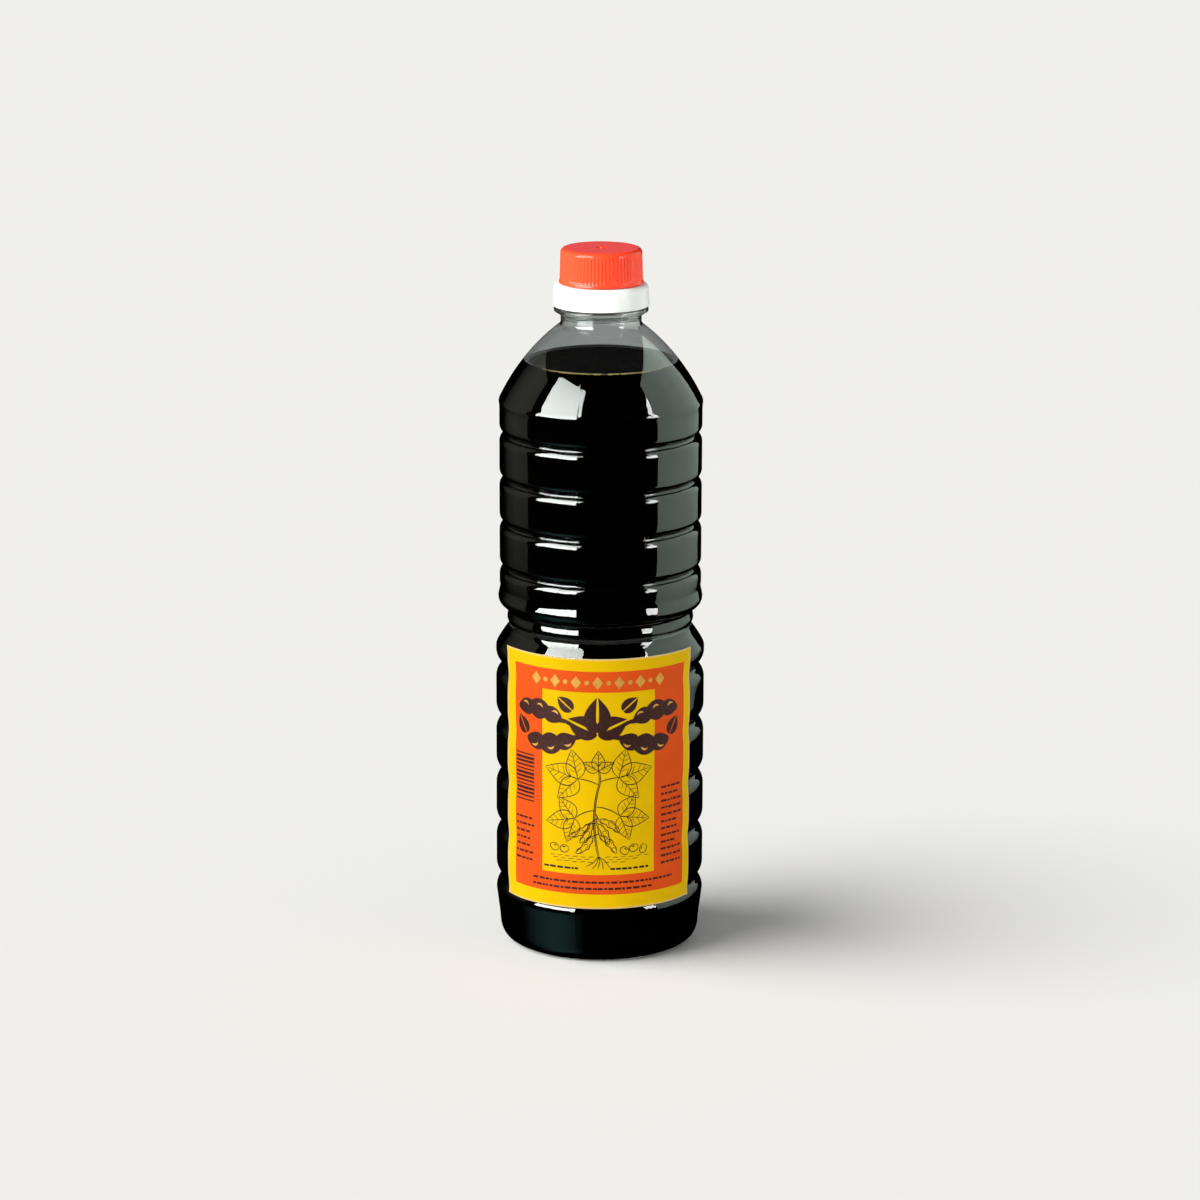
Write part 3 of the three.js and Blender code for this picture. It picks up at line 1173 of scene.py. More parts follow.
class Motifs:
    """The label's generic print: a gold band, a garland, a drawn plant, plain bars and rows of dashes.

    Places are in millimetres from the label's middle, and directions in degrees from the right.
    """

    PEN = 0.17
    PEN_TIP = 0.45
    BAND_HEIGHT = 39.6
    BAND_PITCH = 4.1
    LOZENGE = (4.0, 5.0)
    DOT_RADIUS = 0.9
    PLANT_FOOT = (0.5, -28.0)
    BAR_ENDS = (-35.0, -25.6)
    BAR_TOP = 9.0
    BAR_PITCH = 1.5
    BAR_COUNT = 13
    DASH_HEIGHT = 0.8
    DASH_LENGTHS = (0.8, 2.6)
    DASH_GAPS = (0.35, 0.7)
    RAGGED_SHARES = (0.0, 0.3)

    def __init__(self, seed: int = 7) -> None:
        """Starts with no marks.

        Args:
            seed: Seed of the draw for the dashes' lengths.
        """
        self.draw = np.random.default_rng(seed)
        self.brown: list[Stroke] = []
        self.gold: list[Stroke] = []

    def pen(self, points: Sequence[Point], width: float = 1.0) -> None:
        """Adds a thin pen line that tapers at its ends.

        Args:
            points: Points of the line.
            width: Its width, as a share of the pen's.
        """
        def taper(share: np.ndarray) -> np.ndarray:
            """Half width along the line."""
            full = np.sqrt(np.clip(np.sin(math.pi * share), 0, 1))
            return self.PEN * width * (self.PEN_TIP + (1 - self.PEN_TIP) * full)

        self.brown.append(Stroke.along(points, taper, step=0.5))

    def bar(self, start: Point, end: Point, height: float) -> None:
        """Adds a plain bar of even height.

        Args:
            start: Left end.
            end: Right end.
            height: Its height.
        """
        def even(share: np.ndarray) -> np.ndarray:
            """Half width along the bar."""
            return np.full_like(share, height / 2)

        self.brown.append(Stroke.along([start, end], even))

    def lozenge(self, centre: Point, width: float, height: float) -> None:
        """Adds a gold lozenge.

        Args:
            centre: Its middle.
            width: From its left to its right corner.
            height: From its lower to its upper corner.
        """
        def slant(share: np.ndarray) -> np.ndarray:
            """Half width along the lozenge."""
            return height / 2 * (1 - np.abs(2 * share - 1))

        ends = [(centre[0] - width / 2, centre[1]), (centre[0] + width / 2, centre[1])]
        self.gold.append(Stroke.along(ends, slant, step=0.2))

    def dot(self, centre: Point, radius: float) -> None:
        """Adds a round gold dot.

        Args:
            centre: Its middle.
            radius: Its radius.
        """
        def rounded(share: np.ndarray) -> np.ndarray:
            """Half width along the dot."""
            return radius * np.sqrt(np.clip(1 - (2 * share - 1) ** 2, 0, 1))

        ends = [(centre[0] - radius, centre[1]), (centre[0] + radius, centre[1])]
        self.gold.append(Stroke.along(ends, rounded, step=radius / 6))

    @staticmethod
    def turned(points: Sequence[Point], place: Point, angle: float) -> list[Point]:
        """Turns and moves points.

        Args:
            points: Points round the motif's own start.
            place: Where that start goes.
            angle: Turn in degrees.

        Returns:
            The placed points.
        """
        c, s = math.cos(math.radians(angle)), math.sin(math.radians(angle))
        return [(place[0] + x * c - y * s, place[1] + x * s + y * c) for x, y in points]

    def bold_pod(self, place: Point, angle: float, length: float, side: int, beans: int = 3) -> None:
        """Adds a filled pod with a swelling and a pale glint for each bean, and its stalk.

        Args:
            place: Where the pod joins its stalk.
            angle: Direction of the pod in degrees.
            length: Length of the pod.
            side: The side that it bows to, 1 for left of its direction and -1 for right.
            beans: Number of beans.
        """
        def bow(share: float) -> float:
            """How far the pod's middle lies to its side, along the pod."""
            return side * 0.10 * length * math.sin(math.pi * share)

        def swell(share: np.ndarray) -> np.ndarray:
            """Half width along the pod."""
            ends = np.clip(np.sin(math.pi * np.clip(share, 0, 1)), 0, 1) ** 0.42
            return 0.2 * length * ends * (0.66 + 0.34 * np.abs(np.sin(math.pi * beans * share)) ** 0.75)

        def thin(share: np.ndarray) -> np.ndarray:
            """Half width along a glint."""
            return 0.02 * length * np.sin(math.pi * np.clip(share, 0.02, 0.98))

        def widen(share: np.ndarray) -> np.ndarray:
            """Half width along the stalk."""
            return length * (0.02 + 0.03 * share)

        spine = [(length * t, bow(t)) for t in np.linspace(0, 1, 48)]
        self.brown.append(Stroke.along(self.turned(spine, place, angle), swell, step=0.25))
        for bean in range(beans):
            t = (bean + 0.5) / beans
            turns = np.linspace(0.25 * math.pi, 0.85 * math.pi, 12)
            reach = side * 0.095 * length
            glint = [(length * (t + 0.085 * math.cos(a)), bow(t) + reach * math.sin(a)) for a in turns]
            self.gold.append(Stroke.along(self.turned(glint, place, angle), thin, step=0.3))
        stalk = [(-0.2 * length, -side * 0.06 * length), (-0.08 * length, 0.0), (0.04 * length, 0.0)]
        self.brown.append(Stroke.along(self.turned(stalk, place, angle), widen, step=0.4))

    def bold_leaf(self, place: Point, angle: float, length: float) -> None:
        """Adds a leaf as two filled halves with a bare midrib between them.

        Args:
            place: Where the leaf joins its stalk.
            angle: Direction of the leaf in degrees.
            length: Length of the leaf.
        """
        def rounding(share: float | np.ndarray) -> float | np.ndarray:
            """Share of its full width that the leaf has, along it."""
            return np.clip(np.sin(math.pi * share**0.75), 0, 1)

        def fill(share: np.ndarray) -> np.ndarray:
            """Half width of a half leaf, along it."""
            return 0.165 * length * rounding(share)

        for side in (1, -1):
            shares = np.linspace(0, 1, 24)
            middle = [(length * t, side * length * (0.02 + 0.18 * rounding(t))) for t in shares]
            self.brown.append(Stroke.along(self.turned(middle, place, angle), fill, step=0.4))

    def garland(self) -> None:
        """Adds the bold band: three leaves in the middle, with pods and smaller leaves to both sides."""
        for angle, length in ((90, 14.0), (156, 12.5), (24, 12.5)):
            self.bold_leaf((0.0, 20.0), angle, length)
        for side in (1, -1):
            upper, lower, leaf, end_leaf = (a if side == 1 else 180 - a for a in (8, -6, 40, 62))
            self.bold_pod((side * 13.6, 24.4), upper, 20.0, side)
            self.bold_pod((side * 8.2, 18.2), lower, 21.0, -side)
            self.bold_leaf((side * 9.6, 28.6), leaf, 7.5)
            self.bold_leaf((side * 29.4, 17.4), end_leaf, 7.5)

    def line_leaf(self, place: Point, angle: float, length: float) -> None:
        """Adds a leaf drawn in line, with a midrib and side veins.

        Args:
            place: Where the leaf joins its stalk.
            angle: Direction of the leaf in degrees.
            length: Length of the leaf.
        """
        def rounding(share: float) -> float:
            """Share of its full width that the leaf has, along it."""
            return math.sin(math.pi * share**0.72)

        shares = np.linspace(0, 1, 22)
        edge = [(length * t, length * 0.34 * rounding(t) * (1 - 0.15 * t)) for t in shares]
        self.pen(self.turned(edge, place, angle))
        self.pen(self.turned([(x, -y) for x, y in edge], place, angle))
        self.pen(self.turned([(0, 0), (length * 0.92, 0)], place, angle), 0.8)
        for t in (0.2, 0.38, 0.56, 0.72):
            reach = 0.22 * rounding(t)
            for side in (1, -1):
                vein = [(length * t, 0), (length * (t + 0.14), side * length * reach)]
                self.pen(self.turned(vein, place, angle), 0.55)

    def line_pod(self, place: Point, angle: float, length: float, beans: int = 3) -> None:
        """Adds a pod drawn in line, with its beans showing.

        Args:
            place: Where the pod joins its stalk.
            angle: Direction of the pod in degrees.
            length: Length of the pod.
            beans: Number of beans.
        """
        def spine(share: float) -> float:
            """How far the pod's middle lies to its side, along the pod."""
            return 0.09 * length * math.sin(math.pi * share)

        def swell(share: float) -> float:
            """Half width along the pod."""
            wave = 0.82 + 0.18 * math.cos(2 * math.pi * (beans * share - 0.5))
            return 0.15 * length * math.sin(math.pi * share) ** 0.5 * wave

        for side in (1, -1):
            edge = [(length * t, spine(t) + side * swell(t)) for t in np.linspace(0, 1, 40)]
            self.pen(self.turned(edge, place, angle), 1.1)
        for bean in range(beans):
            t = (bean + 0.5) / beans
            outline = [(length * t + 0.1 * length * math.cos(a), spine(t) + 0.075 * length * math.sin(a))
                       for a in np.linspace(0.6, 5.6, 16)]
            self.pen(self.turned(outline, place, angle), 0.7)
        self.pen(self.turned([(-0.22 * length, 0.12 * length), (0, 0)], place, angle), 1.3)

    def loose_bean(self, centre: Point, angle: float, length: float) -> None:
        """Adds a round bean drawn in line, with its small eye.

        Args:
            centre: Its middle.
            angle: Direction of the bean in degrees.
            length: Length of the bean.
        """
        turns = np.linspace(0, 2 * math.pi, 26)
        outline = [(0.5 * length * math.cos(a), 0.4 * length * math.sin(a)) for a in turns]
        eye = [(-0.16 * length, 0.2 * length), (0.16 * length, 0.2 * length)]
        self.pen(self.turned(outline, centre, angle))
        self.pen(self.turned(eye, centre, angle), 1.4)

    def trefoil(self, joint: Point, place: Point, angle: float, length: float) -> None:
        """Adds three leaves on a bent stalk.

        Args:
            joint: Where the stalk joins the stem.
            place: Where the leaves join the stalk.
            angle: Direction of the middle leaf in degrees.
            length: Length of the middle leaf.
        """
        lean = ((joint[0] + place[0]) / 2, max(joint[1], place[1]))
        self.pen([joint, *bend(joint, lean, place, 10)], 1.2)
        for turn, share in ((0, 1.0), (62, 0.86), (-62, 0.86)):
            self.line_leaf(place, angle + turn, length * share)

    def plant(self) -> None:
        """Adds the drawn soybean plant in the middle of the panel, on its strip of soil."""
        foot, fork = self.PLANT_FOOT, (0.2, -2.0)
        stem = [foot, *bend(foot, (-2.6, -14.0), fork, 18), *bend(fork, (1.6, 2.0), (0.4, 6.0), 8)]
        for shift in (-0.25, 0.25):
            self.pen([(x + shift, y) for x, y in stem], 1.1)
        self.trefoil((0.4, 5.0), (0.4, 5.6), 90, 7.8)
        self.trefoil((0.6, 0.0), (-7.4, 2.2), 164, 13.4)
        self.trefoil((0.9, 1.2), (8.2, 2.8), 14, 13.4)
        self.trefoil((-0.9, -10.0), (-8.6, -13.4), 190, 11.6)
        self.trefoil((-0.6, -8.6), (8.8, -12.4), -8, 11.6)
        pods = (((-1.3, -13.0), -118), ((-1.2, -14.2), -146), ((-0.9, -13.6), -62), ((-0.8, -12.6), -34),
                ((-0.6, -18.8), -132), ((-0.3, -18.6), -48))
        for joint, angle in pods:
            self.line_pod(self.turned([(1.6, 0.0)], joint, angle)[0], angle, 9.6)
        for angle, length in ((-90, 5.0), (-112, 5.6), (-68, 5.6), (-136, 6.4), (-44, 6.4)):
            root = self.turned([(length * 0.5, 0.5), (length, -0.3)], foot, angle)
            self.pen([foot, *root], 0.9)
        self.soil()

    def soil(self) -> None:
        """Adds rows of short lines, bare round the roots, and the loose beans that lie on them."""
        for row, level in enumerate((-28.4, -29.4, -30.4)):
            for number in range(13 - 2 * row):
                at = -18.5 + 1.4 * row + 3.05 * number
                if abs(at + 0.4) > 2.6:
                    self.pen([(at, level), (at + 2.1, level + 0.25 * ((number + row) % 2))], 0.7)
        beans = (((14.0, -25.2), 20), ((10.4, -26.0), -35), ((-12.6, -25.6), 10), ((17.8, -25.8), 70),
                 ((-16.6, -25.2), -20))
        for centre, angle in beans:
            self.loose_bean(centre, angle, 3.6)

    def dash_rows(self, left: float, right: float, top: float, rows: int = 1, pitch: float = 2.7) -> None:
        """Adds rows of short plain dashes with ragged ends.

        Args:
            left: Left end of the rows.
            right: Right end of the rows.
            top: Height of the first row.
            rows: Number of rows.
            pitch: Distance from row to row.
        """
        for row in range(rows):
            at, level = left, top - row * pitch
            end = right - float(self.draw.uniform(*self.RAGGED_SHARES)) * (right - left)
            while at < end:
                length = float(self.draw.uniform(*self.DASH_LENGTHS))
                self.bar((at, level), (min(at + length, right), level), self.DASH_HEIGHT)
                at += length + float(self.draw.uniform(*self.DASH_GAPS))

    def compose(self) -> None:
        """Lays out the whole print."""
        for number in range(-6, 7):
            centre = (number * self.BAND_PITCH, self.BAND_HEIGHT)
            if number % 2 == 0:
                self.lozenge(centre, *self.LOZENGE)
            else:
                self.dot(centre, self.DOT_RADIUS)
        self.garland()
        self.plant()
        left, right = self.BAR_ENDS
        for number in range(self.BAR_COUNT):
            level = self.BAR_TOP - number * self.BAR_PITCH
            self.bar((left, level), (right, level), 0.5 + 0.55 * ((number * 3) % 4) / 3)
        self.dash_rows(25.6, 35.8, -3.0, rows=12)
        self.dash_rows(left, right, -16.0, rows=7)
        self.dash_rows(-21.0, -4.0, -33.0)
        self.dash_rows(5.0, 20.5, -33.0)
        self.dash_rows(-26.0, 31.0, -38.4, rows=2, pitch=2.5)


@dataclass
class Label:
    """The paper label: fields of flat colour and ink on a thin sheet that bridges the grooves."""

    bottle: Bottle
    bottom: float
    top: float
    left: float = -61.0
    right: float = 58.4
    clear: float = 0.12
    thickness: float = 0.1
    border_top: float = 4.9
    border_bottom: float = 5.7
    border_left: float = 5.6
    border_right: float = 4.2
    panel_left: float = -32.8
    panel_right: float = 31.0
    panel_top: float = 13.0
    panel_bottom: float = 13.5
    sag: float = 0.12
    edge_sag: float = 0.5
    sag_width: float = 4.0
    soft_left: float = 11.0
    soft_right: float = 13.0
    wave_depth: float = 0.05
    ripple_depth: float = 0.03
    crease_height: float = 0.22
    crease_width: float = 0.45
    crease_place: float = 5.0
    crease_lean: Point = (0.62, 0.78)
    crease_fade: Point = (-7.0, -3.0)
    curl: float = 0.10
    edge_curl: float = 0.12
    curl_reach: float = 3.0
    wear: float = 0.9
    wear_width: float = 0.35
    step: float = 0.9
    ink_lift: float = 0.03
    gold_lift: float = 0.06
    ink_layer: float = 0.002
    ink_layers: int = 9
    yellow: CoatedPaper = CoatedPaper((0.97, 0.605, 0.0006))
    orange: CoatedPaper = CoatedPaper((0.92, 0.108, 0.012))
    core: CoatedPaper = CoatedPaper(paint(246, 240, 222), roughness=0.7)
    brown: PrintInk = PrintInk(paint(58, 26, 22), paint(74, 36, 26))
    gold: PrintInk = PrintInk(paint(226, 172, 74), paint(216, 150, 62), metallic=0.15)

    @property
    def radius(self) -> float:
        """Distance of the paper's back from the axis where a rib carries it."""
        return self.bottle.lower.radius + self.clear

    def arc_at(self, degrees: float) -> float:
        """Distance along the paper from the front for an angle."""
        return math.radians(degrees) * self.radius

    def surface(self, along: np.ndarray, height: np.ndarray, lift: float) -> np.ndarray:
        """Points on the paper, which dips over the grooves, more so near its two ends.

        It is slightly wavy, has a crease across its upper right corner, and stands off at its upper edge.

        Args:
            along: Distance along the paper from the front.
            height: Height above the floor.
            lift: Distance from the paper's back.

        Returns:
            Points with the last axis x, y and z.
        """
        start, end = self.arc_at(self.left), self.arc_at(self.right)
        near_end = ease(along, start + self.soft_left, start) + ease(along, end - self.soft_right, end)
        dip = sum(hump(height, middle, self.sag_width) for middle in self.bottle.lower.heights())
        radius = self.radius + lift - dip * (self.sag + (self.edge_sag - self.sag) * near_end)
        radius = radius + self.wave_depth * np.sin(along / 7.0 + height / 13.0) * np.sin(height / 8.5 + 0.4)
        radius = radius + self.ripple_depth * np.sin(along / 3.1 - height / 21.0)
        lean_right, lean_up = self.crease_lean
        across = (along - (end - self.crease_place)) * lean_right + (height - self.top) * lean_up
        crease = self.crease_height * hump(across, 0.0, self.crease_width)
        radius = radius + crease * ease(height - self.top, *self.crease_fade)
        curl = ease(height, self.top - self.curl_reach, self.top) * (self.curl + self.edge_curl * near_end)
        angle = along / self.radius
        reach = radius + curl
        return np.stack([reach * np.sin(angle), -reach * np.cos(angle), height], axis=-1)

    def lines(self, start: float, end: float, marks: Sequence[float]) -> np.ndarray:
        """Places of grid lines that also fall on given marks.

        Args:
            start: First line.
            end: Last line.
            marks: Marks between them, in order.

        Returns:
            The places, in order.
        """
        stops = [start, *marks, end]
        spans: list[np.ndarray] = []
        for low, high in zip(stops, stops[1:]):
            parts = max(1, math.ceil((high - low) / self.step))
            spans.append(np.linspace(low, high, parts + 1)[:-1])
        return np.concatenate([*spans, [end]])

    def build_paper(self) -> bpy.types.Object:
        """Makes the sheet, with each field of colour as its own faces.

        Returns:
            The paper's piece.
        """
        start, end = self.arc_at(self.left), self.arc_at(self.right)
        ground = (start + self.border_left, end - self.border_right)
        panel = (self.arc_at(self.panel_left), self.arc_at(self.panel_right))
        rows_ground = (self.bottom + self.border_bottom, self.top - self.border_top)
        rows_panel = (self.bottom + self.panel_bottom, self.top - self.panel_top)
        columns = self.lines(start, end, sorted([*ground, *panel]))
        rows = self.lines(self.bottom, self.top, sorted([*rows_ground, *rows_panel]))
        middle_s, middle_z = np.meshgrid((columns[1:] + columns[:-1]) / 2, (rows[1:] + rows[:-1]) / 2)

        def within(across: Point, up: Point) -> np.ndarray:
            """Whether each face lies in a field."""
            return (middle_s > across[0]) & (middle_s < across[1]) & (middle_z > up[0]) & (middle_z < up[1])

        fields = np.where(within(ground, rows_ground), Field.GROUND.value, Field.BORDER.value)
        fields = np.where(within(panel, rows_panel), Field.PANEL.value, fields)
        along, height = np.meshgrid(columns, rows)
        sketch = MeshSketch()
        front = sketch.grid(self.surface(along, height, self.thickness), fields.reshape(-1))
        back = sketch.grid(self.surface(along, height, 0.0)[:, ::-1], Field.CORE.value)[:, ::-1]
        rim_front = np.concatenate([front[0, :-1], front[:-1, -1], front[-1, :0:-1], front[:0:-1, 0]])
        rim_back = np.concatenate([back[0, :-1], back[:-1, -1], back[-1, :0:-1], back[:0:-1, 0]])
        rim = np.stack([rim_front, rim_back, np.roll(rim_back, -1), np.roll(rim_front, -1)], axis=1)
        sketch.add_faces(rim, Field.CORE.value)
        yellow, orange = self.yellow.material("yellow_paper"), self.orange.material("orange_paper")
        paper = sketch.build("label_sheet", [yellow, orange, yellow, self.core.material("paper_core")])
        edge = np.minimum.reduce([along - start, end - along, height - self.bottom, self.top - height])
        wear = self.wear * hump(edge, 0.0, self.wear_width).reshape(-1)
        values = np.concatenate([wear, wear]).astype(np.float32)
        paper.data.attributes.new("wear", "FLOAT", "POINT").data.foreach_set("value", values)
        return put_on_body(paper, Slot.LABEL, "label")

    def build_ink(self, name: str, marks: Sequence[Stroke], ink: PrintInk, rise: float) -> bpy.types.Object:
        """Lays printed marks on the paper.

        Args:
            name: Name of the piece.
            marks: The marks, in millimetres from the label's middle.
            ink: The ink's finish.
            rise: Distance of the ink from the paper's face.

        Returns:
            The ink's piece.
        """
        middle = (self.arc_at(self.left) + self.arc_at(self.right)) / 2
        centre = (self.bottom + self.top) / 2
        sketch = MeshSketch()
        for number, mark in enumerate(marks):
            patch = mark.patch()
            lift = self.thickness + rise + self.ink_layer * (number % self.ink_layers)
            sketch.grid(self.surface(patch[..., 0] + middle, patch[..., 1] + centre, lift))
        return put_on_body(sketch.build(name, [ink.material(name)]), Slot.LABEL)

    def build(self) -> list[bpy.types.Object]:
        """Makes the paper and its print.

        Returns:
            The paper's piece and the two inks' pieces.
        """
        motifs = Motifs()
        motifs.compose()
        brown = self.build_ink("label_print_brown", motifs.brown, self.brown, self.ink_lift)
        gold = self.build_ink("label_print_gold", motifs.gold, self.gold, self.gold_lift)
        return [self.build_paper(), brown, gold]


def bearing(degrees: float, distance: float) -> Point:
    """The floor point at an angle from the front and a distance from the axis."""
    return distance * math.sin(math.radians(degrees)), -distance * math.cos(math.radians(degrees))


def around(distance: float, angles: Iterable[float]) -> tuple[Point, ...]:
    """Floor points at one distance from the axis, at angles from the front."""
    return tuple(bearing(angle, distance) for angle in angles)


class Sight(Enum):
    """How the part shows a lit card: mirrored in a surface, through the clear wall, or both."""

    MIRRORED = "mirrored"
    THROUGH = "through"
    BOTH = "both"


class Target(Enum):
    """What a light shines on."""

    FLOOR = "floor"
    PART = "part"
    CLOSURE = "closure"


@dataclass(frozen=True)
class Card:
    """A standing lit card round the bottle that the camera doesn't see.

    Its foot runs through floor points. Each of its levels, from low to high, has a height and a brightness,
    which are either one for all of them or one over each floor point.
    """

    name: str
    foot: tuple[Point, ...]
    levels: tuple[tuple[Spread, Spread], ...]
    tint: Colour = WHITE
    sight: Sight = Sight.BOTH

    def build(self) -> bpy.types.Object:
        """Makes the card.

        Returns:
            The card.
        """
        count = len(self.foot)
        heights = np.array([np.broadcast_to(height, count) for height, _ in self.levels])
        lights = np.array([np.broadcast_to(light, count) for _, light in self.levels])
        floor = np.broadcast_to(np.array(self.foot), (*heights.shape, 2))
        points = np.concatenate([floor, heights[..., None]], axis=-1)
        material = bpy.data.materials.new(self.name)
        material.use_nodes = True
        tree = material.node_tree
        tree.nodes.clear()
        glow = tree.nodes.new("ShaderNodeEmission")
        glow.inputs["Color"].default_value = (*self.tint, 1.0)
        brightness = tree.nodes.new("ShaderNodeAttribute")
        brightness.attribute_name = "brightness"
        tree.links.new(brightness.outputs["Fac"], glow.inputs["Strength"])
        output = tree.nodes.new("ShaderNodeOutputMaterial")
        tree.links.new(glow.outputs["Emission"], output.inputs["Surface"])
        sketch = MeshSketch()
        sketch.grid(points)
        card = sketch.build(self.name, [material])
        values = lights.reshape(-1).astype(np.float32)
        card.data.attributes.new("brightness", "FLOAT", "POINT").data.foreach_set("value", values)
        card.visible_camera = False
        card.visible_diffuse = False
        card.visible_shadow = False
        card.visible_glossy = self.sight is not Sight.THROUGH
        card.visible_transmission = self.sight is not Sight.MIRRORED
        return card


@dataclass(frozen=True)
class SoftSun:
    """A broad, distant, even light on one kind of target."""

    name: str
    target: Target
    azimuth: float
    elevation: float
    spread: float
    strength: float

    def build(self, receivers: Sequence[bpy.types.Object]) -> bpy.types.Object:
        """Makes the light.

        Args:
            receivers: The objects that it shines on.

        Returns:
            The light.
        """
        light = bpy.data.lights.new(self.name, "SUN")
        light.energy = self.strength
        light.angle = math.radians(self.spread)
        lamp = bpy.data.objects.new(self.name, light)
        bpy.context.scene.collection.objects.link(lamp)
        lamp.rotation_euler = (math.radians(90 - self.elevation), 0.0, math.radians(self.azimuth))
        lamp.visible_glossy = False
        lamp.visible_transmission = False
        lit = bpy.data.collections.new(self.name + "_receivers")
        for receiver in receivers:
            lit.objects.link(receiver)
        lamp.light_linking.receiver_collection = lit
        return lamp


# Upright lines of the cards that stand round the bottle, by their angle from the front
KEY_EDGES = (-77.0, -69.0, -56.0, -43.0, -25.0)
SIDE_EDGES = (52.0, 60.6, 61.0, 66.0, 71.0)
LOW_EDGES = (-95.0, -75.0, -55.0, -38.0, -18.0)
HORIZON_EDGES = tuple(range(0, 361, 15))
HORIZON_TOPS = tuple(900.0 if 135 <= a <= 225 else 240.0 for a in HORIZON_EDGES)

# Upright lines of the cards beside the bottle, by their place from front to back
RIGHT_EDGES = (-146.0, -20.0, 108.0, 220.0, 315.0, 317.0, 345.0, 372.0, 400.0)
BACKDROP_EDGES = (-146.0, -20.0, 108.0, 180.0, 325.0, 560.0)
LEFT_EDGES = (-21.0, 100.0, 180.0, 330.0)
SIDE_DISTANCE = 300.0

RIGHT_TINT: Colour = (0.83, 1.0, 0.89)


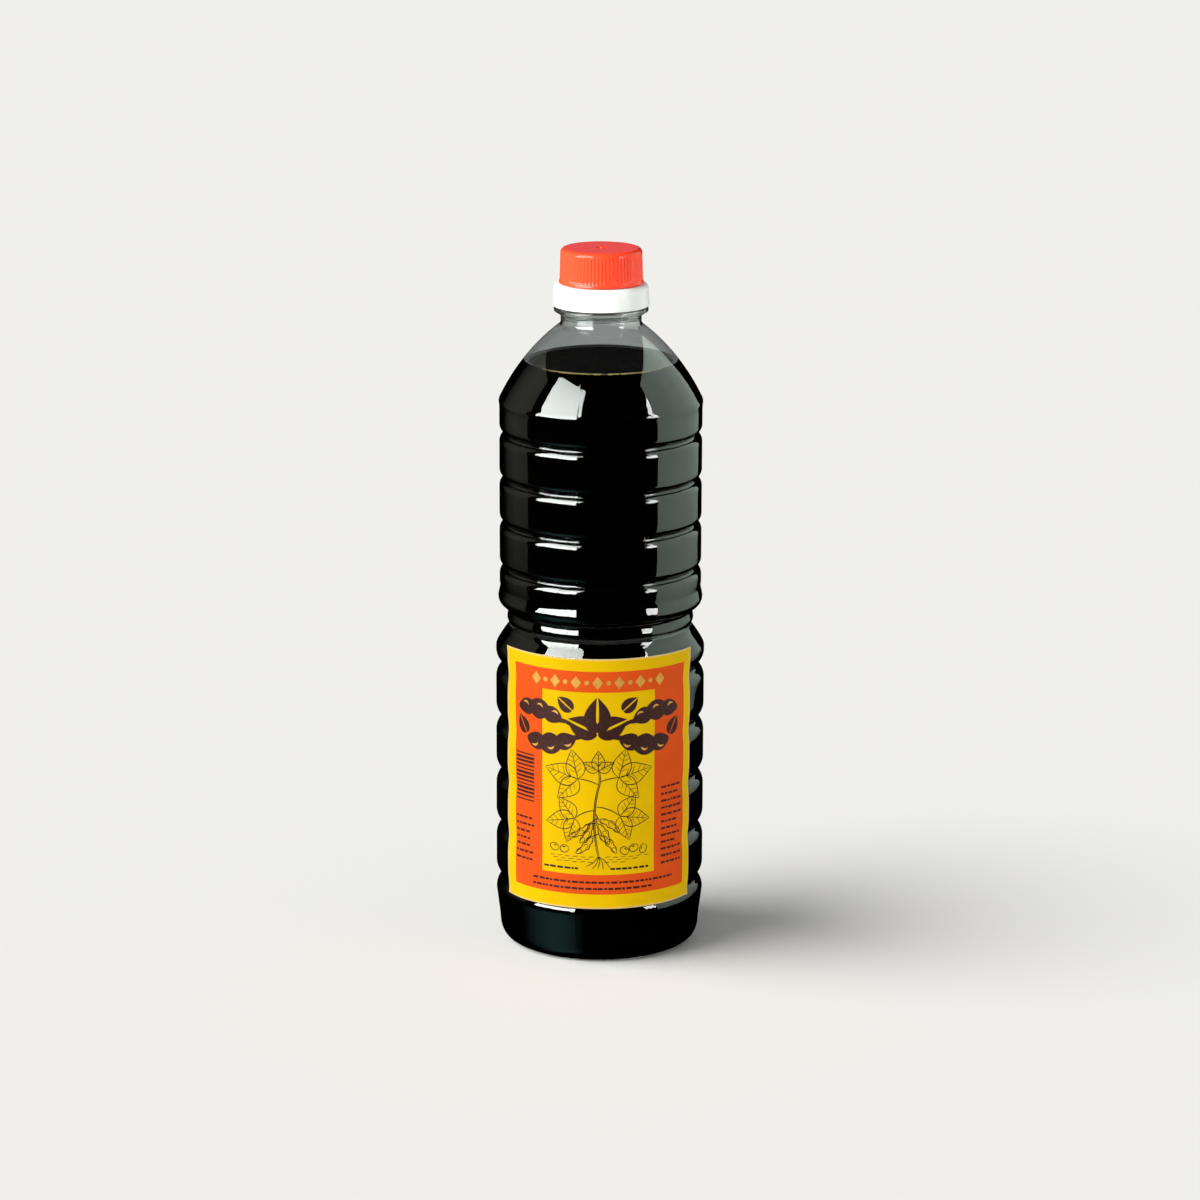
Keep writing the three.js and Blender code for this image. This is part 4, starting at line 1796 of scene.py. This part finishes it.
@dataclass
class Studio:
    """Plain pale floor, soft light, cards that show in the clear plastic, and the camera."""

    floor_colour: Colour = (0.80, 0.795, 0.765)
    floor_size: float = 14000.0
    ambient: float = 0.32
    lens: float = 130.2
    camera_side: float = -0.1
    camera_distance: float = 1598.0
    camera_height: float = 541.3
    camera_reach: float = 50000.0
    pitch: float = 14.35
    roll: float = 0.18
    suns: tuple[SoftSun, ...] = (
        SoftSun("shadow_light", Target.FLOOR, -77.0, 58.0, 40.0, 2.85),
        SoftSun("front_light", Target.PART, -62.0, 30.0, 45.0, 2.15),
        SoftSun("fill_light", Target.PART, 75.0, 30.0, 60.0, 0.2),
        SoftSun("back_light", Target.PART, 180.0, 35.0, 90.0, 0.8),
        SoftSun("closure_light", Target.CLOSURE, -62.0, 16.0, 30.0, 8.9),
        SoftSun("closure_fill", Target.CLOSURE, 75.0, 10.0, 50.0, 1.6),
    )
    cards: tuple[Card, ...] = (
        Card("key_card", around(1000.0, KEY_EDGES),
             ((225.0, 25.0), ((1320.0, 1420.0, 1480.0, 1515.0, 1500.0), 12.5)), (0.95, 1.0, 0.97)),
        Card("side_light_card", around(700.0, SIDE_EDGES),
             ((180.0, 16.0), ((400.0, 460.0, 730.0, 790.0, 680.0), 16.0))),
        Card("right_card", tuple((SIDE_DISTANCE, y) for y in RIGHT_EDGES),
             ((0.0, (1.25, 1.25, 0.75, 0.35, 0.22, 0.22, 0.08, 0.0, 0.0)),
              ((130.0, 130.0, 130.0, 130.0, 130.0, 130.0, 130.0, 100.0, 10.0),
               (1.75, 1.75, 1.3, 1.09, 1.06, 1.06, 1.02, 0.9, 0.5)),
              ((560.0, 560.0, 555.0, 545.0, 530.0, 375.0, 270.0, 130.0, 20.0),
               (1.9, 1.9, 2.1, 2.2, 2.2, 1.7, 1.3, 1.0, 0.5))),
             RIGHT_TINT, Sight.MIRRORED),
        Card("right_backdrop", tuple((SIDE_DISTANCE, y) for y in BACKDROP_EDGES),
             ((0.0, (1.25, 1.25, 0.75, 0.45, 0.02, 0.0)),
              (130.0, (1.75, 1.75, 1.3, 1.1, 1.0, 0.6)),
              (545.0, (1.9, 1.9, 1.8, 1.7, 1.5, 1.2))),
             RIGHT_TINT, Sight.THROUGH),
        Card("left_card", tuple((-SIDE_DISTANCE, y) for y in LEFT_EDGES),
             ((10.0, (0.04, 0.03, 0.02, 0.0)),
              (160.0, (0.32, 0.28, 0.16, 0.02)),
              (460.0, (0.45, 0.42, 0.25, 0.05))),
             (0.97, 1.0, 0.82)),
        Card("back_card", ((-90.0, 900.0), (90.0, 900.0)),
             ((360.0, 0.2), (620.0, 0.2)), (0.3, 0.6, 1.0), Sight.MIRRORED),
        Card("low_card", around(400.0, LOW_EDGES),
             tuple((height, (0.0, 0.2, 0.36, 0.3, 0.0)) for height in (-600.0, -60.0)),
             (0.42, 1.0, 1.0), Sight.MIRRORED),
        Card("horizon", around(400.0, HORIZON_EDGES),
             ((-400.0, 0.36), (HORIZON_TOPS, 0.36)), sight=Sight.THROUGH),
    )

    def build_floor(self) -> bpy.types.Object:
        """Makes the floor, which shows neither in nor through the bottle.

        Returns:
            The floor.
        """
        half = self.floor_size / 2
        colour = (*self.floor_colour, 1.0)
        shader = Shader("pale_floor", base_color=colour, roughness=1.0, specular_ior_level=0.0)
        sketch = MeshSketch()
        corners = [[(-half, -half, 0), (half, -half, 0)], [(-half, half, 0), (half, half, 0)]]
        sketch.grid(np.array(corners, float))
        floor = sketch.build("floor", [shader.material])
        floor.visible_glossy = False
        floor.visible_transmission = False
        return floor

    def build_world(self) -> None:
        """Sets an even surrounding light that shows neither in nor through the bottle."""
        world = bpy.data.worlds.new("studio")
        world.use_nodes = True
        background = world.node_tree.nodes["Background"]
        background.inputs["Color"].default_value = (*WHITE, 1.0)
        background.inputs["Strength"].default_value = self.ambient
        bpy.context.scene.world = world
        world.cycles_visibility.glossy = False
        world.cycles_visibility.transmission = False
        bpy.context.scene.view_settings.view_transform = "Standard"

    def build_camera(self) -> bpy.types.Object:
        """Makes the camera at the photograph's viewing angle.

        Returns:
            The camera.
        """
        camera = bpy.data.cameras.new("camera")
        camera.lens = self.lens
        camera.clip_end = self.camera_reach * MM
        view = bpy.data.objects.new("camera", camera)
        view.location = (self.camera_side * MM, -self.camera_distance * MM, self.camera_height * MM)
        tilt = Matrix.Rotation(math.radians(90 - self.pitch), 3, "X")
        view.rotation_euler = (tilt @ Matrix.Rotation(math.radians(self.roll), 3, "Z")).to_euler()
        bpy.context.scene.collection.objects.link(view)
        bpy.context.scene.camera = view
        return view

    def build(self, part: Sequence[bpy.types.Object], closure: Sequence[bpy.types.Object]) -> None:
        """Makes the whole studio.

        Args:
            part: The bottle, the sauce and the label.
            closure: The cap and the collar.
        """
        targets = {Target.FLOOR: [self.build_floor()], Target.PART: part, Target.CLOSURE: closure}
        self.build_world()
        self.build_camera()
        for sun in self.suns:
            sun.build(targets[sun.target])
        for card in self.cards:
            card.build()
        LOG.info("studio: %d lights and %d cards", len(self.suns), len(self.cards))


def height_span(node: str) -> tuple[float, float]:
    """Lowest and highest height of a solid, in millimetres."""
    low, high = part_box(node)
    return low.z / MM, high.z / MM


def main() -> None:
    """Builds the pieces in order, and the studio round them."""
    logging.basicConfig(level=logging.INFO, format="%(name)s %(message)s")
    lower = RibPanel(
        radius=39.6, depth=2.45, lip=5.45, edge=1.87, soft=48.3, steep=48.3, first=24.5, pitch=21.0, count=5)
    upper = RibPanel(
        radius=38.2, depth=1.85, lip=3.2, edge=0.6, soft=45.0, steep=72.0, first=146.75, pitch=17.1, count=4)
    bottle = Bottle(lower, upper)
    wall = bottle.build()
    sauce = Sauce(bottle, height_span("soy_sauce")[1]).build()
    collar = Collar(*height_span("collar")).build()
    cap = Cap(*height_span("cap")).build()
    label = Label(bottle, *height_span("label")).build()
    Studio().build([wall, sauce, *label], [collar, cap])


if __name__ == "__main__":
    main()
